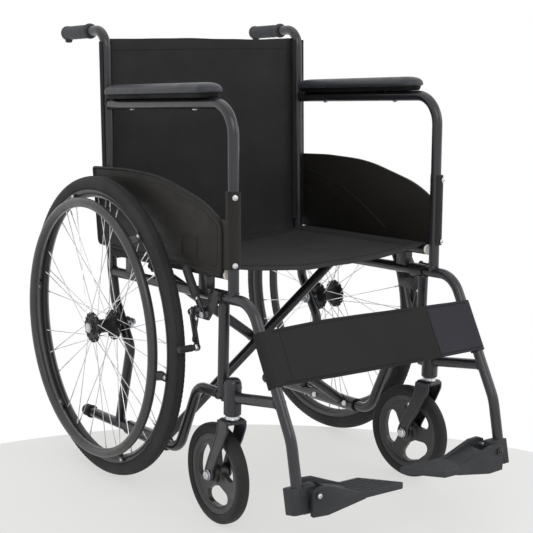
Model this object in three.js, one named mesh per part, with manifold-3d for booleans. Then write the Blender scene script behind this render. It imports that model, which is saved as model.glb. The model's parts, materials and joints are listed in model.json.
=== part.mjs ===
// Folding manual wheelchair with fixed armrests, skirt guards, spoked rear wheels and flip-up footplates.
// Units are millimetres. Front is -Y, up is +Z, the sitter's right is -X. The origin lies on the ground,
// under the middle of the bounding box.
import * as THREE from 'three';
import { mergeVertices } from 'three/addons/utils/BufferGeometryUtils.js';
import Module from 'manifold-3d';

const wasm = await Module();
wasm.setup();

// ---- driving dimensions; y is measured from the rear axle and z from the ground ----

const GAP = 0.3; // clearance between parts that touch
const HALF_TRACK = 235; // centre plane of each side frame
const TUBE = 10; // frame tube radius
const TUBE_SIDES = 10;
const RAIL_SLOPE = 0.072; // the rails rise towards the front
const RAIL_TILT = Math.atan(RAIL_SLOPE);

const WHEEL_RADIUS = 300;
const WHEEL_PLANE = 281; // tyre centre plane
const WHEEL_SEGMENTS = 40;
const RIM_RADIUS = 273.6;
const SPOKES_PER_FLANGE = 18;
const SPOKE_LEAD = 0.62; // how far round, in radians, a crossed spoke runs
const HANDRIM_PLANE = 312.5;
const HANDRIM_RADIUS = 250;
const HANDRIM_TUBE = 9.5;
const HANDRIM_TABS = 6;
const HANDRIM_TURN = THREE.MathUtils.degToRad(8); // where the first tab stands, from +Y towards +Z
const AXLE_RADIUS = 6;
const AXLE_INNER_END = 209;
const AXLE_OUTER_END = 316;

const CASTER_RADIUS = 94.4;
const CASTER_TRAIL = 46;
const CASTER_STEM_Y = -401;
const CASTER_SEGMENTS = 30;
const HOUSING_RADIUS = 16;
const HOUSING_BOTTOM = 220;
const HOUSING_TOP = 288;
const STEM_RADIUS = 8;
const RIGHT_SWIVEL = THREE.MathUtils.degToRad(-1.2);
const LEFT_SWIVEL = THREE.MathUtils.degToRad(8);
const RIGHT_WINDOW = 20; // where the first window of the caster's core stands, in degrees
const LEFT_WINDOW = 0;

const POST_PATH = [
  [15, 84], [-31, 257], [31, 341], [46, 409], [52, 480], [70, 826], [72, 880.8], [232, 867.4],
];
const ARMREST_PATH = [[66, 735], [-387, 775], [-398.5, 430]];
const RAIL_PATH = [[45, 398.8], [-454, 434.8], [-581, 222], [-607, 116]];
const LOWER_PATH = [[156, 74], [-220, 101], [-286, 243], [-369, 249]];
const FRONT_POST_Y = -369;
const STRUT_PATH = [[-404, 252], [-547, 280]];

const PIVOT_Y = -133; // the cross brace crosses its twin here
const PIVOT_Z = 269;
const LOWER_HINGE_Z = 94.7; // lower rail axis at PIVOT_Y
const SEAT_RAIL_Z = 455; // seat rail axis at PIVOT_Y
const SEAT_RAIL_FRONT = -377.5;
const SEAT_RAIL_REAR = 27;
const SLEEVE_RADIUS = 14.5;
const SLEEVE_FRONT = -176;
const SLEEVE_REAR = -26;
const BRACE_OFFSET = 10.6; // each brace lies this far from the crossing plane
const PIVOT_BOLT = 4;

const FOOT_PIVOT = { x: 210, z: 137 };
const FOOT_LEG_Y = -602; // leg tube axis at the footplate clamp

const PAINT = { color: 0x262527, roughness: 0.38, metalness: 0.35 };
const NYLON = { color: 0x1d1d1f, roughness: 0.85, metalness: 0 };
const RUBBER = { color: 0x3a3a3c, roughness: 0.8, metalness: 0 };
const PLASTIC = { color: 0x2a2827, roughness: 0.5, metalness: 0 };
const PAD_SKIN = { color: 0x303136, roughness: 0.45, metalness: 0 };
const ZINC = { color: 0xb9bcc0, roughness: 0.3, metalness: 1 };
const WHITE = { color: 0xe6e1d6, roughness: 0.5, metalness: 0 };

// ---- solids ----

function solid(geometry) {
  const bare = geometry.clone();
  bare.deleteAttribute('normal');
  bare.deleteAttribute('uv');
  const merged = mergeVertices(bare, 1e-4);
  const mesh = new wasm.Mesh({
    numProp: 3,
    vertProperties: new Float32Array(merged.attributes.position.array),
    triVerts: new Uint32Array(merged.index.array),
  });
  return new wasm.Manifold(mesh);
}

function geometryOf(body) {
  const mesh = body.getMesh();
  const geometry = new THREE.BufferGeometry();
  geometry.setAttribute('position', new THREE.BufferAttribute(new Float32Array(mesh.vertProperties), 3));
  geometry.setIndex(new THREE.BufferAttribute(new Uint32Array(mesh.triVerts), 1));
  geometry.computeVertexNormals();
  return geometry;
}

function node(name, shape, look) {
  const geometry = shape.isBufferGeometry ? shape : geometryOf(shape);
  const mesh = new THREE.Mesh(geometry, new THREE.MeshStandardMaterial(look));
  mesh.name = name;
  return mesh;
}

function join(first, ...others) {
  return others.reduce((whole, one) => whole.add(one), first);
}

function box(x0, x1, y0, y1, z0, z1) {
  const geometry = new THREE.BoxGeometry(Math.abs(x1 - x0), Math.abs(y1 - y0), Math.abs(z1 - z0));
  geometry.translate((x0 + x1) / 2, (y0 + y1) / 2, (z0 + z1) / 2);
  return solid(geometry);
}

// A curve that passes only through its own points, so that a straight tube stays one span long.
class Spans extends THREE.Curve {
  constructor(points) {
    super();
    this.points = points;
  }

  getPointAt(u, target = new THREE.Vector3()) {
    return target.copy(this.points[Math.round(u * (this.points.length - 1))]);
  }

  getPoint(u, target) {
    return this.getPointAt(u, target);
  }

  getTangentAt(u, target = new THREE.Vector3()) {
    const last = this.points.length - 1;
    const i = Math.round(u * last);
    const back = this.points[i].clone().sub(this.points[Math.max(i - 1, 0)]).normalize();
    const on = this.points[Math.min(i + 1, last)].clone().sub(this.points[i]).normalize();
    return target.copy(back.add(on)).normalize();
  }
}

function roundShape(radius, sides) {
  const corners = [];
  for (let i = 0; i < sides; i += 1) {
    const angle = ((i + 0.5) / sides) * 2 * Math.PI;
    corners.push(new THREE.Vector2(radius * Math.cos(angle), radius * Math.sin(angle)));
  }
  return new THREE.Shape(corners);
}

function sweep(points, radius, sides = TUBE_SIDES) {
  const options = { steps: points.length - 1, bevelEnabled: false, extrudePath: new Spans(points) };
  return solid(new THREE.ExtrudeGeometry(roundShape(radius, sides), options));
}

const BEND_STEP = 0.4; // radians between the stations of a bend

// Replaces each inner corner of a polyline by an arc of the given radius.
function bend(corners, radii) {
  const path = [corners[0]];
  for (let i = 1; i < corners.length - 1; i += 1) {
    const corner = corners[i];
    const back = corners[i - 1].clone().sub(corner).normalize();
    const on = corners[i + 1].clone().sub(corner).normalize();
    const half = back.angleTo(on) / 2;
    const radius = Array.isArray(radii) ? radii[i - 1] : radii;
    const reach = radius / Math.tan(half);
    const centre = back.clone().add(on).normalize().multiplyScalar(radius / Math.sin(half)).add(corner);
    const from = corner.clone().addScaledVector(back, reach).sub(centre);
    const to = corner.clone().addScaledVector(on, reach).sub(centre);
    const turn = from.angleTo(to);
    const stations = Math.max(1, Math.ceil(turn / BEND_STEP));
    for (let k = 0; k <= stations; k += 1) {
      const t = k / stations;
      const a = Math.sin((1 - t) * turn) / Math.sin(turn);
      const b = Math.sin(t * turn) / Math.sin(turn);
      path.push(centre.clone().addScaledVector(from, a).addScaledVector(to, b));
    }
  }
  path.push(corners[corners.length - 1]);
  return path;
}

const inPlane = (x, list) => list.map(([y, z]) => new THREE.Vector3(x, y, z));

function sideTube(s, path, radii, radius = TUBE) {
  return sweep(bend(inPlane(s * HALF_TRACK, path), radii), radius);
}

function rod(from, to, radius, sides = TUBE_SIDES) {
  return sweep([new THREE.Vector3(...from), new THREE.Vector3(...to)], radius, sides);
}

// A closed profile of [radius, along] pairs turned about the X axis at the given place.
function turnedX(profile, segments, x, y, z) {
  const outline = profile.map(([r, along]) => new THREE.Vector2(r, along));
  const closed = outline[0].x > 0 ? [...outline, outline[0].clone()] : outline;
  const geometry = new THREE.LatheGeometry(closed, segments, Math.PI / segments);
  geometry.rotateZ(-Math.PI / 2);
  geometry.translate(x, y, z);
  return upright(geometry);
}

function turnedZ(profile, segments, x, y, z) {
  const outline = profile.map(([r, along]) => new THREE.Vector2(r, along));
  const closed = outline[0].x > 0 ? [...outline, outline[0].clone()] : outline;
  const geometry = new THREE.LatheGeometry(closed, segments);
  geometry.rotateX(Math.PI / 2);
  geometry.translate(x, y, z);
  return upright(geometry);
}

// Turns an inside-out body the right way round.
function upright(geometry) {
  const body = solid(geometry);
  if (body.volume() > 0) return body;
  const flipped = geometry.index ? geometry.toNonIndexed() : geometry.clone();
  const p = flipped.attributes.position;
  for (let i = 0; i < p.count; i += 3) {
    const first = new THREE.Vector3().fromBufferAttribute(p, i);
    const third = new THREE.Vector3().fromBufferAttribute(p, i + 2);
    p.setXYZ(i, third.x, third.y, third.z);
    p.setXYZ(i + 2, first.x, first.y, first.z);
  }
  return solid(flipped);
}

// An outline in the y-z plane given a thickness along X, from x0 to x1.
function plateX(outline, x0, x1, bevel = 0) {
  const shape = new THREE.Shape(outline.map(([y, z]) => new THREE.Vector2(y, z)));
  return shapeX(shape, x0, x1, bevel);
}

function shapeX(shape, x0, x1, bevel = 0) {
  const low = Math.min(x0, x1);
  const geometry = new THREE.ExtrudeGeometry(shape, {
    depth: Math.abs(x1 - x0) - 2 * bevel,
    bevelEnabled: bevel > 0,
    bevelThickness: bevel,
    bevelSize: bevel,
    bevelOffset: -bevel,
    bevelSegments: 2,
    curveSegments: 4,
  });
  const turn = new THREE.Matrix4().makeBasis(
    new THREE.Vector3(0, 1, 0),
    new THREE.Vector3(0, 0, 1),
    new THREE.Vector3(1, 0, 0),
  );
  geometry.applyMatrix4(turn);
  geometry.translate(low + bevel, 0, 0);
  return solid(geometry);
}

// An outline in the x-y plane given a height along Z.
function plateZ(shape, z0, z1, bevel = 0, curveSegments = 6) {
  const geometry = new THREE.ExtrudeGeometry(shape, {
    depth: z1 - z0 - 2 * bevel,
    bevelEnabled: bevel > 0,
    bevelThickness: bevel,
    bevelSize: bevel,
    bevelOffset: -bevel,
    bevelSegments: 2,
    curveSegments,
  });
  geometry.translate(0, 0, z0 + bevel);
  return solid(geometry);
}

// ---- side frame tubes ----

const POST_RADII = [34, 30, 60, 120, 300, 36];

function backPostBody(s, radius = TUBE) {
  return sideTube(s, POST_PATH, POST_RADII, radius);
}

function lowerRailBody(s, radius = TUBE) {
  return sideTube(s, LOWER_PATH, [45, 38], radius);
}

function sideRailBody(s, radius = TUBE) {
  return sideTube(s, RAIL_PATH, [55, 90], radius);
}

function housingAround(s, radius) {
  const x = s * HALF_TRACK;
  return rod([x, CASTER_STEM_Y, HOUSING_BOTTOM - 20], [x, CASTER_STEM_Y, HOUSING_TOP + 20], radius);
}

const CUT = TUBE + 0.95; // a ten-sided cutter of this radius clears a tube by the gap

function backPost(s) {
  const bore = rod([s * 200, 0, WHEEL_RADIUS], [s * 270, 0, WHEEL_RADIUS], AXLE_RADIUS + 0.6);
  const top = POST_PATH[POST_PATH.length - 1];
  return backPostBody(s).subtract(lowerRailBody(s, CUT)).subtract(bore).subtract(
    box(s * HALF_TRACK - 20, s * HALF_TRACK + 20, -60, 60, 0, LOWER_HINGE_Z - 8),
  ).subtract(box(s * HALF_TRACK - 20, s * HALF_TRACK + 20, top[0], top[0] + 20, 820, 900));
}

function armrestTube(s) {
  const tube = sideTube(s, ARMREST_PATH, [54]);
  return tube.subtract(backPostBody(s, CUT)).subtract(sideRailBody(s, CUT));
}

// Two cradles stand on the side rail and carry the seat rail.
function saddle(s, y) {
  const railZ = RAIL_PATH[0][1] + (RAIL_PATH[0][0] - y) * RAIL_SLOPE;
  const x = s * HALF_TRACK;
  return box(x - 8, x + 8, y - 14, y + 14, railZ, railZ + 40);
}

function seatRailAxis(y) {
  return SEAT_RAIL_Z + (PIVOT_Y - y) * RAIL_SLOPE;
}

function seatRailBody(s, radius) {
  const x = s * HALF_TRACK;
  const from = [x, SEAT_RAIL_REAR, seatRailAxis(SEAT_RAIL_REAR)];
  return rod(from, [x, SEAT_RAIL_FRONT, seatRailAxis(SEAT_RAIL_FRONT)], radius);
}

function sideRail(s) {
  const cradles = join(saddle(s, -40), saddle(s, -310)).subtract(seatRailBody(s, CUT));
  return join(sideRailBody(s), cradles).subtract(backPostBody(s, CUT));
}

function lowerRail(s) {
  return lowerRailBody(s).subtract(frontPostBody(s, CUT));
}

function frontPostBody(s, radius = TUBE) {
  return rod([s * HALF_TRACK, FRONT_POST_Y, 236], [s * HALF_TRACK, FRONT_POST_Y, 430], radius);
}

function frontPost(s) {
  return frontPostBody(s).subtract(sideRailBody(s, CUT));
}

function casterHousing(s) {
  const bore = STEM_RADIUS + 0.4;
  const profile = [
    [bore, HOUSING_BOTTOM], [HOUSING_RADIUS, HOUSING_BOTTOM], [HOUSING_RADIUS, HOUSING_TOP - 9],
    [HOUSING_RADIUS - 4, HOUSING_TOP - 2], [0, HOUSING_TOP], [0, HOUSING_TOP - 14], [bore, HOUSING_TOP - 14],
  ];
  const cup = turnedZ(profile, 20, s * HALF_TRACK, CASTER_STEM_Y, 0);
  const weldStart = CASTER_STEM_Y + HOUSING_RADIUS - 2;
  const weld = box(s * HALF_TRACK - 5, s * HALF_TRACK + 5, weldStart, FRONT_POST_Y - 4, 238, 272);
  return join(cup, weld.subtract(frontPostBody(s, CUT)));
}

function casterStrut(s) {
  const strut = sweep(inPlane(s * HALF_TRACK, STRUT_PATH), TUBE);
  return strut.subtract(housingAround(s, HOUSING_RADIUS + 1)).subtract(sideRailBody(s, CUT));
}

function tipCap(s) {
  const [y, z] = LOWER_PATH[0];
  const back = [Math.cos(RAIL_TILT), -Math.sin(RAIL_TILT)];
  const at = (d) => [s * HALF_TRACK, y + back[0] * d, z + back[1] * d];
  const cup = rod(at(-22), at(5), 12.6);
  const collar = rod(at(-25), at(-19), 14);
  return join(cup, collar).subtract(rod(at(-40), at(0.4), CUT));
}

// ---- push handle grip: a ribbed sleeve with a hooked rear end ----

function grip(s) {
  const slope = Math.atan2(866.6 - 875.5, 106);
  const bore = CUT;
  const profile = [[bore, 0], [15.2, 0], [15.2, 5], [12.6, 7], [12.6, 20]];
  for (let i = 0; i < 4; i += 1) {
    const start = 22 + i * 18;
    profile.push([13.8, start], [13.8, start + 12], [12.6, start + 13], [12.6, start + 17]);
  }
  profile.push([14, 98], [14, 105], [10, 107], [0, 107], [0, 100], [bore, 100]);
  const sleeve = turnedZ(profile, 12, 0, 0, 0).rotate([-90 + THREE.MathUtils.radToDeg(slope), 0, 0]);
  const hook = box(-9, 9, 94, 104, -31, -19.6);
  return join(sleeve, hook).translate([s * HALF_TRACK, 135, 875.5]);
}

// ---- armrest pad ----

function armrestPad(s) {
  const length = 378;
  const width = 54;
  const outline = new THREE.Shape();
  const x = width / 2;
  const y = length / 2;
  const r = 20;
  outline.moveTo(-x + r, -y);
  outline.lineTo(x - r, -y);
  outline.quadraticCurveTo(x, -y, x, -y + r);
  outline.lineTo(x, y - r);
  outline.quadraticCurveTo(x, y, x - r, y);
  outline.lineTo(-x + r, y);
  outline.quadraticCurveTo(-x, y, -x, y - r);
  outline.lineTo(-x, -y + r);
  outline.quadraticCurveTo(-x, -y, -x + r, -y);
  const [[rearY, rearZ], [frontY, frontZ]] = ARMREST_PATH;
  const slope = Math.atan((frontZ - rearZ) / (frontY - rearY));
  const middleY = -142;
  const middleZ = rearZ + (middleY - rearY) * Math.tan(slope) + TUBE + GAP;
  const pad = plateZ(outline, 0, 26, 7, 4).rotate([THREE.MathUtils.radToDeg(slope), 0, 0]);
  return pad.translate([s * HALF_TRACK, middleY, middleZ]);
}

// ---- skirt guard: a moulded panel whose front edge wraps the armrest's front post ----

function skirtGuard(s) {
  const top = [[98, 607], [0, 618], [-70, 621.5], [-130, 621.5], [-200, 616], [-270, 605], [-325, 592]];
  const front = [[-352, 583], [-369, 570], [-377, 552], [-380, 520], [-381, 485], [-376, 472], [-360, 468]];
  const outline = [...top, ...front, [-241, 464], [-93, 459], [74, 452], [83, 460]];
  const inner = [
    [88, 597], [0, 608], [-70, 611.5], [-130, 611.5], [-200, 606], [-270, 595], [-325, 582],
    [-346, 574], [-360, 563], [-367, 550], [-370, 520], [-371, 490], [-360, 478], [-241, 474], [-93, 469], [75, 462],
  ];
  const x0 = s * (HALF_TRACK + TUBE + 1);
  const shape = new THREE.Shape(outline.map(([y, z]) => new THREE.Vector2(y, z)));
  shape.holes.push(new THREE.Path(inner.map(([y, z]) => new THREE.Vector2(y, z))));
  const panel = plateX(outline, x0, x0 + s * 3);
  const rim = shapeX(shape, x0 + s * 2.5, x0 + s * 6);
  const postAt = (z) => [s * HALF_TRACK, -398.5 + ((z - 430) / 345) * 11.5, z];
  const sleeve = rod(postAt(622), postAt(486), 14.6, 16);
  const bridge = box(x0, x0 + s * 3, -392, -374, 490, 560);
  const mouth = box(s * (HALF_TRACK - 30), s * (HALF_TRACK - 2), -450, -350, 400, 700);
  const channel = sleeve.subtract(mouth);
  return join(panel, bridge, rim, channel).subtract(rod(postAt(700), postAt(400), CUT));
}

// ---- rear wheel ----

function tyre(s) {
  const flat = WHEEL_RADIUS / Math.cos(Math.PI / WHEEL_SEGMENTS);
  const profile = [
    [flat, 6], [flat - 6, 12], [flat - 16, 13.6], [RIM_RADIUS + GAP, 10.5],
    [RIM_RADIUS + GAP, -10.5], [flat - 16, -13.6], [flat - 6, -12], [flat, -6],
  ];
  return turnedX(profile, WHEEL_SEGMENTS, s * WHEEL_PLANE, 0, WHEEL_RADIUS);
}

function rim(s) {
  const profile = [[RIM_RADIUS, 11], [266, 11], [258, 4], [258, -4], [266, -11], [RIM_RADIUS, -11]];
  return turnedX(profile, WHEEL_SEGMENTS, s * WHEEL_PLANE, 0, WHEEL_RADIUS);
}

function spokedHub(s) {
  const bore = AXLE_RADIUS + 0.6;
  const profile = [
    [bore, -28], [15, -28], [15, -25.5], [28, -25.5], [28, -21.5], [16, -17],
    [16, 17], [28, 21.5], [28, 25.5], [15, 25.5], [15, 29], [bore, 29],
  ];
  let body = turnedX(profile, 14, 0, 0, 0);
  for (let flange = 0; flange < 2; flange += 1) {
    const x = flange ? 23 : -23;
    for (let i = 0; i < SPOKES_PER_FLANGE; i += 1) {
      const angle = ((i + flange * 0.5) / SPOKES_PER_FLANGE) * 2 * Math.PI;
      const lead = i % 2 ? SPOKE_LEAD : -SPOKE_LEAD;
      const face = i % 2 ? 1.7 : -1.7;
      const inner = [x + face, 24 * Math.cos(angle), 24 * Math.sin(angle)];
      const end = 256.5;
      const outer = [x * 0.15 + face, end * Math.cos(angle + lead), end * Math.sin(angle + lead)];
      body = body.add(rod(inner, outer, 1.3, 3));
    }
  }
  return body.scale([s, 1, 1]).translate([s * WHEEL_PLANE, 0, WHEEL_RADIUS]);
}

function handrim(s) {
  const ring = [];
  const corners = 6;
  for (let i = 0; i < corners; i += 1) {
    const angle = (i / corners) * 2 * Math.PI;
    ring.push([HANDRIM_RADIUS + HANDRIM_TUBE * Math.cos(angle), HANDRIM_TUBE * Math.sin(angle)]);
  }
  let body = turnedX(ring, WHEEL_SEGMENTS, s * HANDRIM_PLANE, 0, WHEEL_RADIUS);
  for (let i = 0; i < HANDRIM_TABS; i += 1) {
    const angle = (i / HANDRIM_TABS) * 2 * Math.PI + HANDRIM_TURN;
    const tab = box(s * (WHEEL_PLANE + 12.6), s * (HANDRIM_PLANE - 5), 246, 268, -7, 7);
    const turned = tab.rotate([THREE.MathUtils.radToDeg(angle), 0, 0]);
    body = body.add(turned.translate([0, 0, WHEEL_RADIUS]));
  }
  return body;
}

// A bolt with a washer, a nut at its inner end and a head at its outer end.
function axle(s) {
  const nutStart = AXLE_INNER_END + 3;
  const nutEnd = HALF_TRACK - TUBE - 4;
  const headStart = AXLE_OUTER_END - 4.4;
  const headEnd = AXLE_OUTER_END + 2;
  const profile = [
    [0, AXLE_INNER_END], [AXLE_RADIUS, AXLE_INNER_END], [AXLE_RADIUS, nutStart], [10, nutStart],
    [10, nutEnd], [12, nutEnd], [12, nutEnd + 3], [AXLE_RADIUS, nutEnd + 3],
    [AXLE_RADIUS, headStart], [10, headStart], [10, headEnd], [0, headEnd],
  ];
  return turnedX(profile, 12, 0, 0, 0).scale([s, 1, 1]).translate([0, 0, WHEEL_RADIUS]);
}

// ---- caster, drawn with its stem on the Z axis and its trail along +Y ----

function casterFork() {
  const stem = rod([0, 0, 205], [0, 0, HOUSING_TOP - 20], STEM_RADIUS);
  const collar = rod([0, 0, 211], [0, 0, HOUSING_BOTTOM - 1.5], 13, 16);
  const crown = box(-21, 21, -15, 17, 205, 212);
  const arm = [
    [-15, 212], [-15, 196], [-4, 168], [14, 140], [32, 106], [33, 88], [40, 81],
    [52, 81], [59, 88], [59, 100], [48, 128], [34, 156], [22, 182], [17, 212],
  ];
  const outer = plateX(arm, 17.5, 21.5);
  const inner = plateX(arm, -21.5, -17.5);
  const bore = rod([-30, CASTER_TRAIL, CASTER_RADIUS], [30, CASTER_TRAIL, CASTER_RADIUS], 5.4);
  return join(stem, collar, crown, outer, inner).subtract(bore);
}

function casterCore(turn) {
  const ringProfile = [[76, 9], [64, 7], [64, -7], [76, -9]];
  const hubProfile = [[5.4, 15], [17, 15], [17, -15], [5.4, -15]];
  const place = [0, CASTER_TRAIL, CASTER_RADIUS];
  const ring = turnedX(ringProfile, CASTER_SEGMENTS, ...place);
  const hub = turnedX(hubProfile, 12, ...place);
  let web = turnedX([[15, 4], [66, 4], [66, -4], [15, -4]], 18, 0, 0, 0);
  for (let i = 0; i < 3; i += 1) {
    const hole = new THREE.Shape();
    const half = 0.84;
    hole.absarc(0, 0, 59, -half, half, false);
    hole.absarc(0, 0, 25, half * 0.62, -half * 0.62, true);
    const cutter = shapeX(hole, -12, 12);
    web = web.subtract(cutter.rotate([120 * i + turn, 0, 0]));
  }
  return join(ring, hub, web.translate(place));
}

function casterTyre() {
  const flat = CASTER_RADIUS / Math.cos(Math.PI / CASTER_SEGMENTS);
  const inner = 76 + GAP;
  const profile = [
    [flat, 7], [flat - 5, 11.8], [inner, 10], [inner, -10], [flat - 5, -11.8], [flat, -7],
  ];
  return turnedX(profile, CASTER_SEGMENTS, 0, CASTER_TRAIL, CASTER_RADIUS);
}

function casterAxle() {
  const profile = [
    [0, -28], [8.5, -28], [8.5, -21.9], [5, -21.9], [5, 21.9],
    [8.5, 21.9], [8.5, 27], [5, 27], [5, 29], [0, 29],
  ];
  return turnedX(profile, 12, 0, CASTER_TRAIL, CASTER_RADIUS);
}

function caster(side, s, swivel) {
  const group = new THREE.Group();
  group.position.set(s * HALF_TRACK, CASTER_STEM_Y, 0);
  group.rotation.z = swivel;
  group.add(
    node(`${side}_caster_fork`, casterFork(), PAINT),
    node(`${side}_caster_core`, casterCore(s < 0 ? RIGHT_WINDOW : LEFT_WINDOW), PLASTIC),
    node(`${side}_caster_tyre`, casterTyre(), RUBBER),
    node(`${side}_caster_axle`, casterAxle(), ZINC),
  );
  return group;
}

// ---- wheel lock ----

const LEVER_PIVOT = [-332, 392];
const SHOE_PIVOT = [-293, 389];
const SHOE_ROD = [-314, 327];

function discX([y, z], radius, x0, x1, sides = 8) {
  return rod([x0, y, z], [x1, y, z], radius, sides);
}

function strip(s, from, to, width, x0, x1) {
  const [y0, z0] = from;
  const [y1, z1] = to;
  const length = Math.hypot(y1 - y0, z1 - z0);
  const ny = (-(z1 - z0) / length) * (width / 2);
  const nz = ((y1 - y0) / length) * (width / 2);
  const outline = [[y0 + ny, z0 + nz], [y1 + ny, z1 + nz], [y1 - ny, z1 - nz], [y0 - ny, z0 - nz]];
  return join(
    plateX(outline, s * x0, s * x1),
    discX(from, width / 2, s * x0, s * x1),
    discX(to, width / 2, s * x0, s * x1),
  );
}

// A spacer, a pin and its head, standing out of the bracket.
function brakePin(at, s) {
  return join(
    discX(at, 6, s * 247, s * 253.4),
    discX(at, 3.6, s * 253, s * 260),
    discX(at, 6, s * 258.6, s * 261),
  );
}

function brakeBracket(s) {
  const rail = -355;
  const railZ = RAIL_PATH[0][1] + (RAIL_PATH[0][0] - rail) * RAIL_SLOPE;
  const outline = [
    [-378, railZ + 16], [-334, railZ + 16], [-326, 404], [-284, 400],
    [-282, 380], [-300, 378], [-344, 378], [-378, 408],
  ];
  const plate = plateX(outline, s * (HALF_TRACK + TUBE + 0.6), s * (HALF_TRACK + TUBE + 3.6));
  const strap = box(s * (HALF_TRACK - 14), s * (HALF_TRACK + TUBE + 3), -374, -338, railZ - 14, railZ + 14);
  const clamp = strap.subtract(sideRailBody(s, CUT)).subtract(frontPostBody(s, CUT));
  const pins = join(
    brakePin(LEVER_PIVOT, s),
    brakePin(SHOE_PIVOT, s),
  );
  return join(plate, clamp, pins);
}

function brakeLever(s) {
  const knob = [-276, 465];
  const blade = strip(s, LEVER_PIVOT, knob, 14, 254, 258);
  const handle = strip(s, [-304, 428], knob, 18, 252.8, 262);
  return join(blade, handle).subtract(discX(LEVER_PIVOT, 4.4, s * 240, s * 270));
}

function brakeShoe(s) {
  const arm = strip(s, SHOE_PIVOT, SHOE_ROD, 14, 254, 258);
  const bar = discX(SHOE_ROD, 6.5, s * 252, s * 296);
  return join(arm, bar).subtract(discX(SHOE_PIVOT, 4.4, s * 240, s * 270));
}

// ---- footplates: one moulding serves both sides, turned half round, so the cut corner changes ends ----

function footClamp(s) {
  const axisY = FOOT_LEG_Y;
  const tilt = Math.atan2(RAIL_PATH[3][0] - RAIL_PATH[2][0], RAIL_PATH[2][1] - RAIL_PATH[3][1]);
  const x = s * HALF_TRACK;
  const outline = new THREE.Shape([
    new THREE.Vector2(-16, -11), new THREE.Vector2(-11, -15), new THREE.Vector2(13, -15),
    new THREE.Vector2(13, 15), new THREE.Vector2(-11, 15), new THREE.Vector2(-16, 11),
  ]);
  const sleeve = plateZ(outline, 0, 46, 1.5).scale([-s, 1, 1]).rotate([THREE.MathUtils.radToDeg(tilt), 0, 0]);
  const placed = sleeve.translate([x, axisY - 23 * Math.tan(-tilt) - 8, 101]);
  const slit = box(x + s * 8, x + s * 30, axisY - 19, axisY - 16.5, 80, 170);
  const { z } = FOOT_PIVOT;
  const pinX = s * FOOT_PIVOT.x;
  const lug = box(s * (FOOT_PIVOT.x - 8), s * (HALF_TRACK - 10), axisY - 9, axisY + 9, z - 12, z + 10);
  const pin = rod([pinX, axisY - 30, z], [pinX, axisY + 28, z], 4);
  const head = rod([pinX, axisY - 33, z], [pinX, axisY - 29.6, z], 7);
  return join(placed, lug, pin, head).subtract(sideRailBody(s, CUT)).subtract(slit);
}

function footplate(s) {
  const flipped = s > 0; // the left plate is the right one turned half round
  const front = FOOT_LEG_Y - 28;
  const rear = FOOT_LEG_Y + 36;
  const long = 192;
  const short = 134;
  const inner = (reach) => s * (FOOT_PIVOT.x - reach);
  const outer = s * (FOOT_PIVOT.x - 13);
  const plan = new THREE.Shape([
    new THREE.Vector2(outer, front),
    new THREE.Vector2(inner(flipped ? short : long), front),
    new THREE.Vector2(inner(flipped ? long : short), rear),
    new THREE.Vector2(outer, rear),
  ]);
  const slab = plateZ(plan, 111, 123, 1.5);
  const ribOutline = [
    [-11, 99], [22, 98], [110, 111], [96, 122], [24, 147], [4, 149], [-8, 145], [-11, 138],
  ];
  const rib = (y0, y1) => {
    const shape = new THREE.Shape(ribOutline.map(([reach, z]) => new THREE.Vector2(reach, z)));
    const geometry = new THREE.ExtrudeGeometry(shape, { depth: y1 - y0, bevelEnabled: false });
    geometry.rotateX(Math.PI / 2);
    geometry.scale(1, -1, 1);
    return upright(geometry).translate([0, y0, 0]).scale([-s, 1, 1]).translate([s * FOOT_PIVOT.x, 0, 0]);
  };
  const web = box(s * (FOOT_PIVOT.x - 30), s * (FOOT_PIVOT.x - 24), front + 2, rear - 2, 100, 128);
  const ribs = join(rib(front, front + 9), rib(rear - 12, rear - 3));
  const pinX = s * FOOT_PIVOT.x;
  const bore = rod([pinX, front - 20, FOOT_PIVOT.z], [pinX, rear + 20, FOOT_PIVOT.z], 4.7);
  return join(slab, ribs, web).subtract(bore);
}

// ---- cross brace ----

function bracePlaneY(z, offset) {
  // points of a plane square to the rails, moved along them by offset
  return PIVOT_Y + (z - PIVOT_Z) * Math.sin(RAIL_TILT) + offset;
}

function brace(s, offset, name) {
  // s is the side of the lower sleeve; the seat rail is on the other side
  const low = [s * HALF_TRACK, bracePlaneY(LOWER_HINGE_Z, offset), LOWER_HINGE_Z - offset * RAIL_SLOPE];
  const highZ = 2 * PIVOT_Z - LOWER_HINGE_Z;
  const high = [-s * HALF_TRACK, bracePlaneY(highZ, offset), highZ - offset * RAIL_SLOPE];
  const bar = rod(low, high, TUBE);
  const lowerAt = (y) => [s * HALF_TRACK, y, LOWER_HINGE_Z + (PIVOT_Y - y) * RAIL_SLOPE];
  const sleeve = rod(lowerAt(SLEEVE_FRONT), lowerAt(SLEEVE_REAR), SLEEVE_RADIUS, 14);
  const hollow = seatRailBody(-s, TUBE - 1.6);
  const bore = rod(lowerAt(SLEEVE_FRONT - 20), lowerAt(SLEEVE_REAR + 20), CUT);
  const bolt = pivotBoltBody(PIVOT_BOLT + 0.5);
  const ends = hollow.subtract(box(-s * 200, -s * 270, SEAT_RAIL_FRONT + 14, SEAT_RAIL_REAR - 14, 380, 520));
  const whole = join(bar, sleeve, seatRailBody(-s, TUBE));
  return node(name, whole.subtract(bore).subtract(bolt).subtract(ends), PAINT);
}

function pivotBoltBody(radius) {
  const at = (d) => [0, PIVOT_Y + d, PIVOT_Z - d * RAIL_SLOPE];
  return rod(at(-30), at(30), radius);
}

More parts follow.
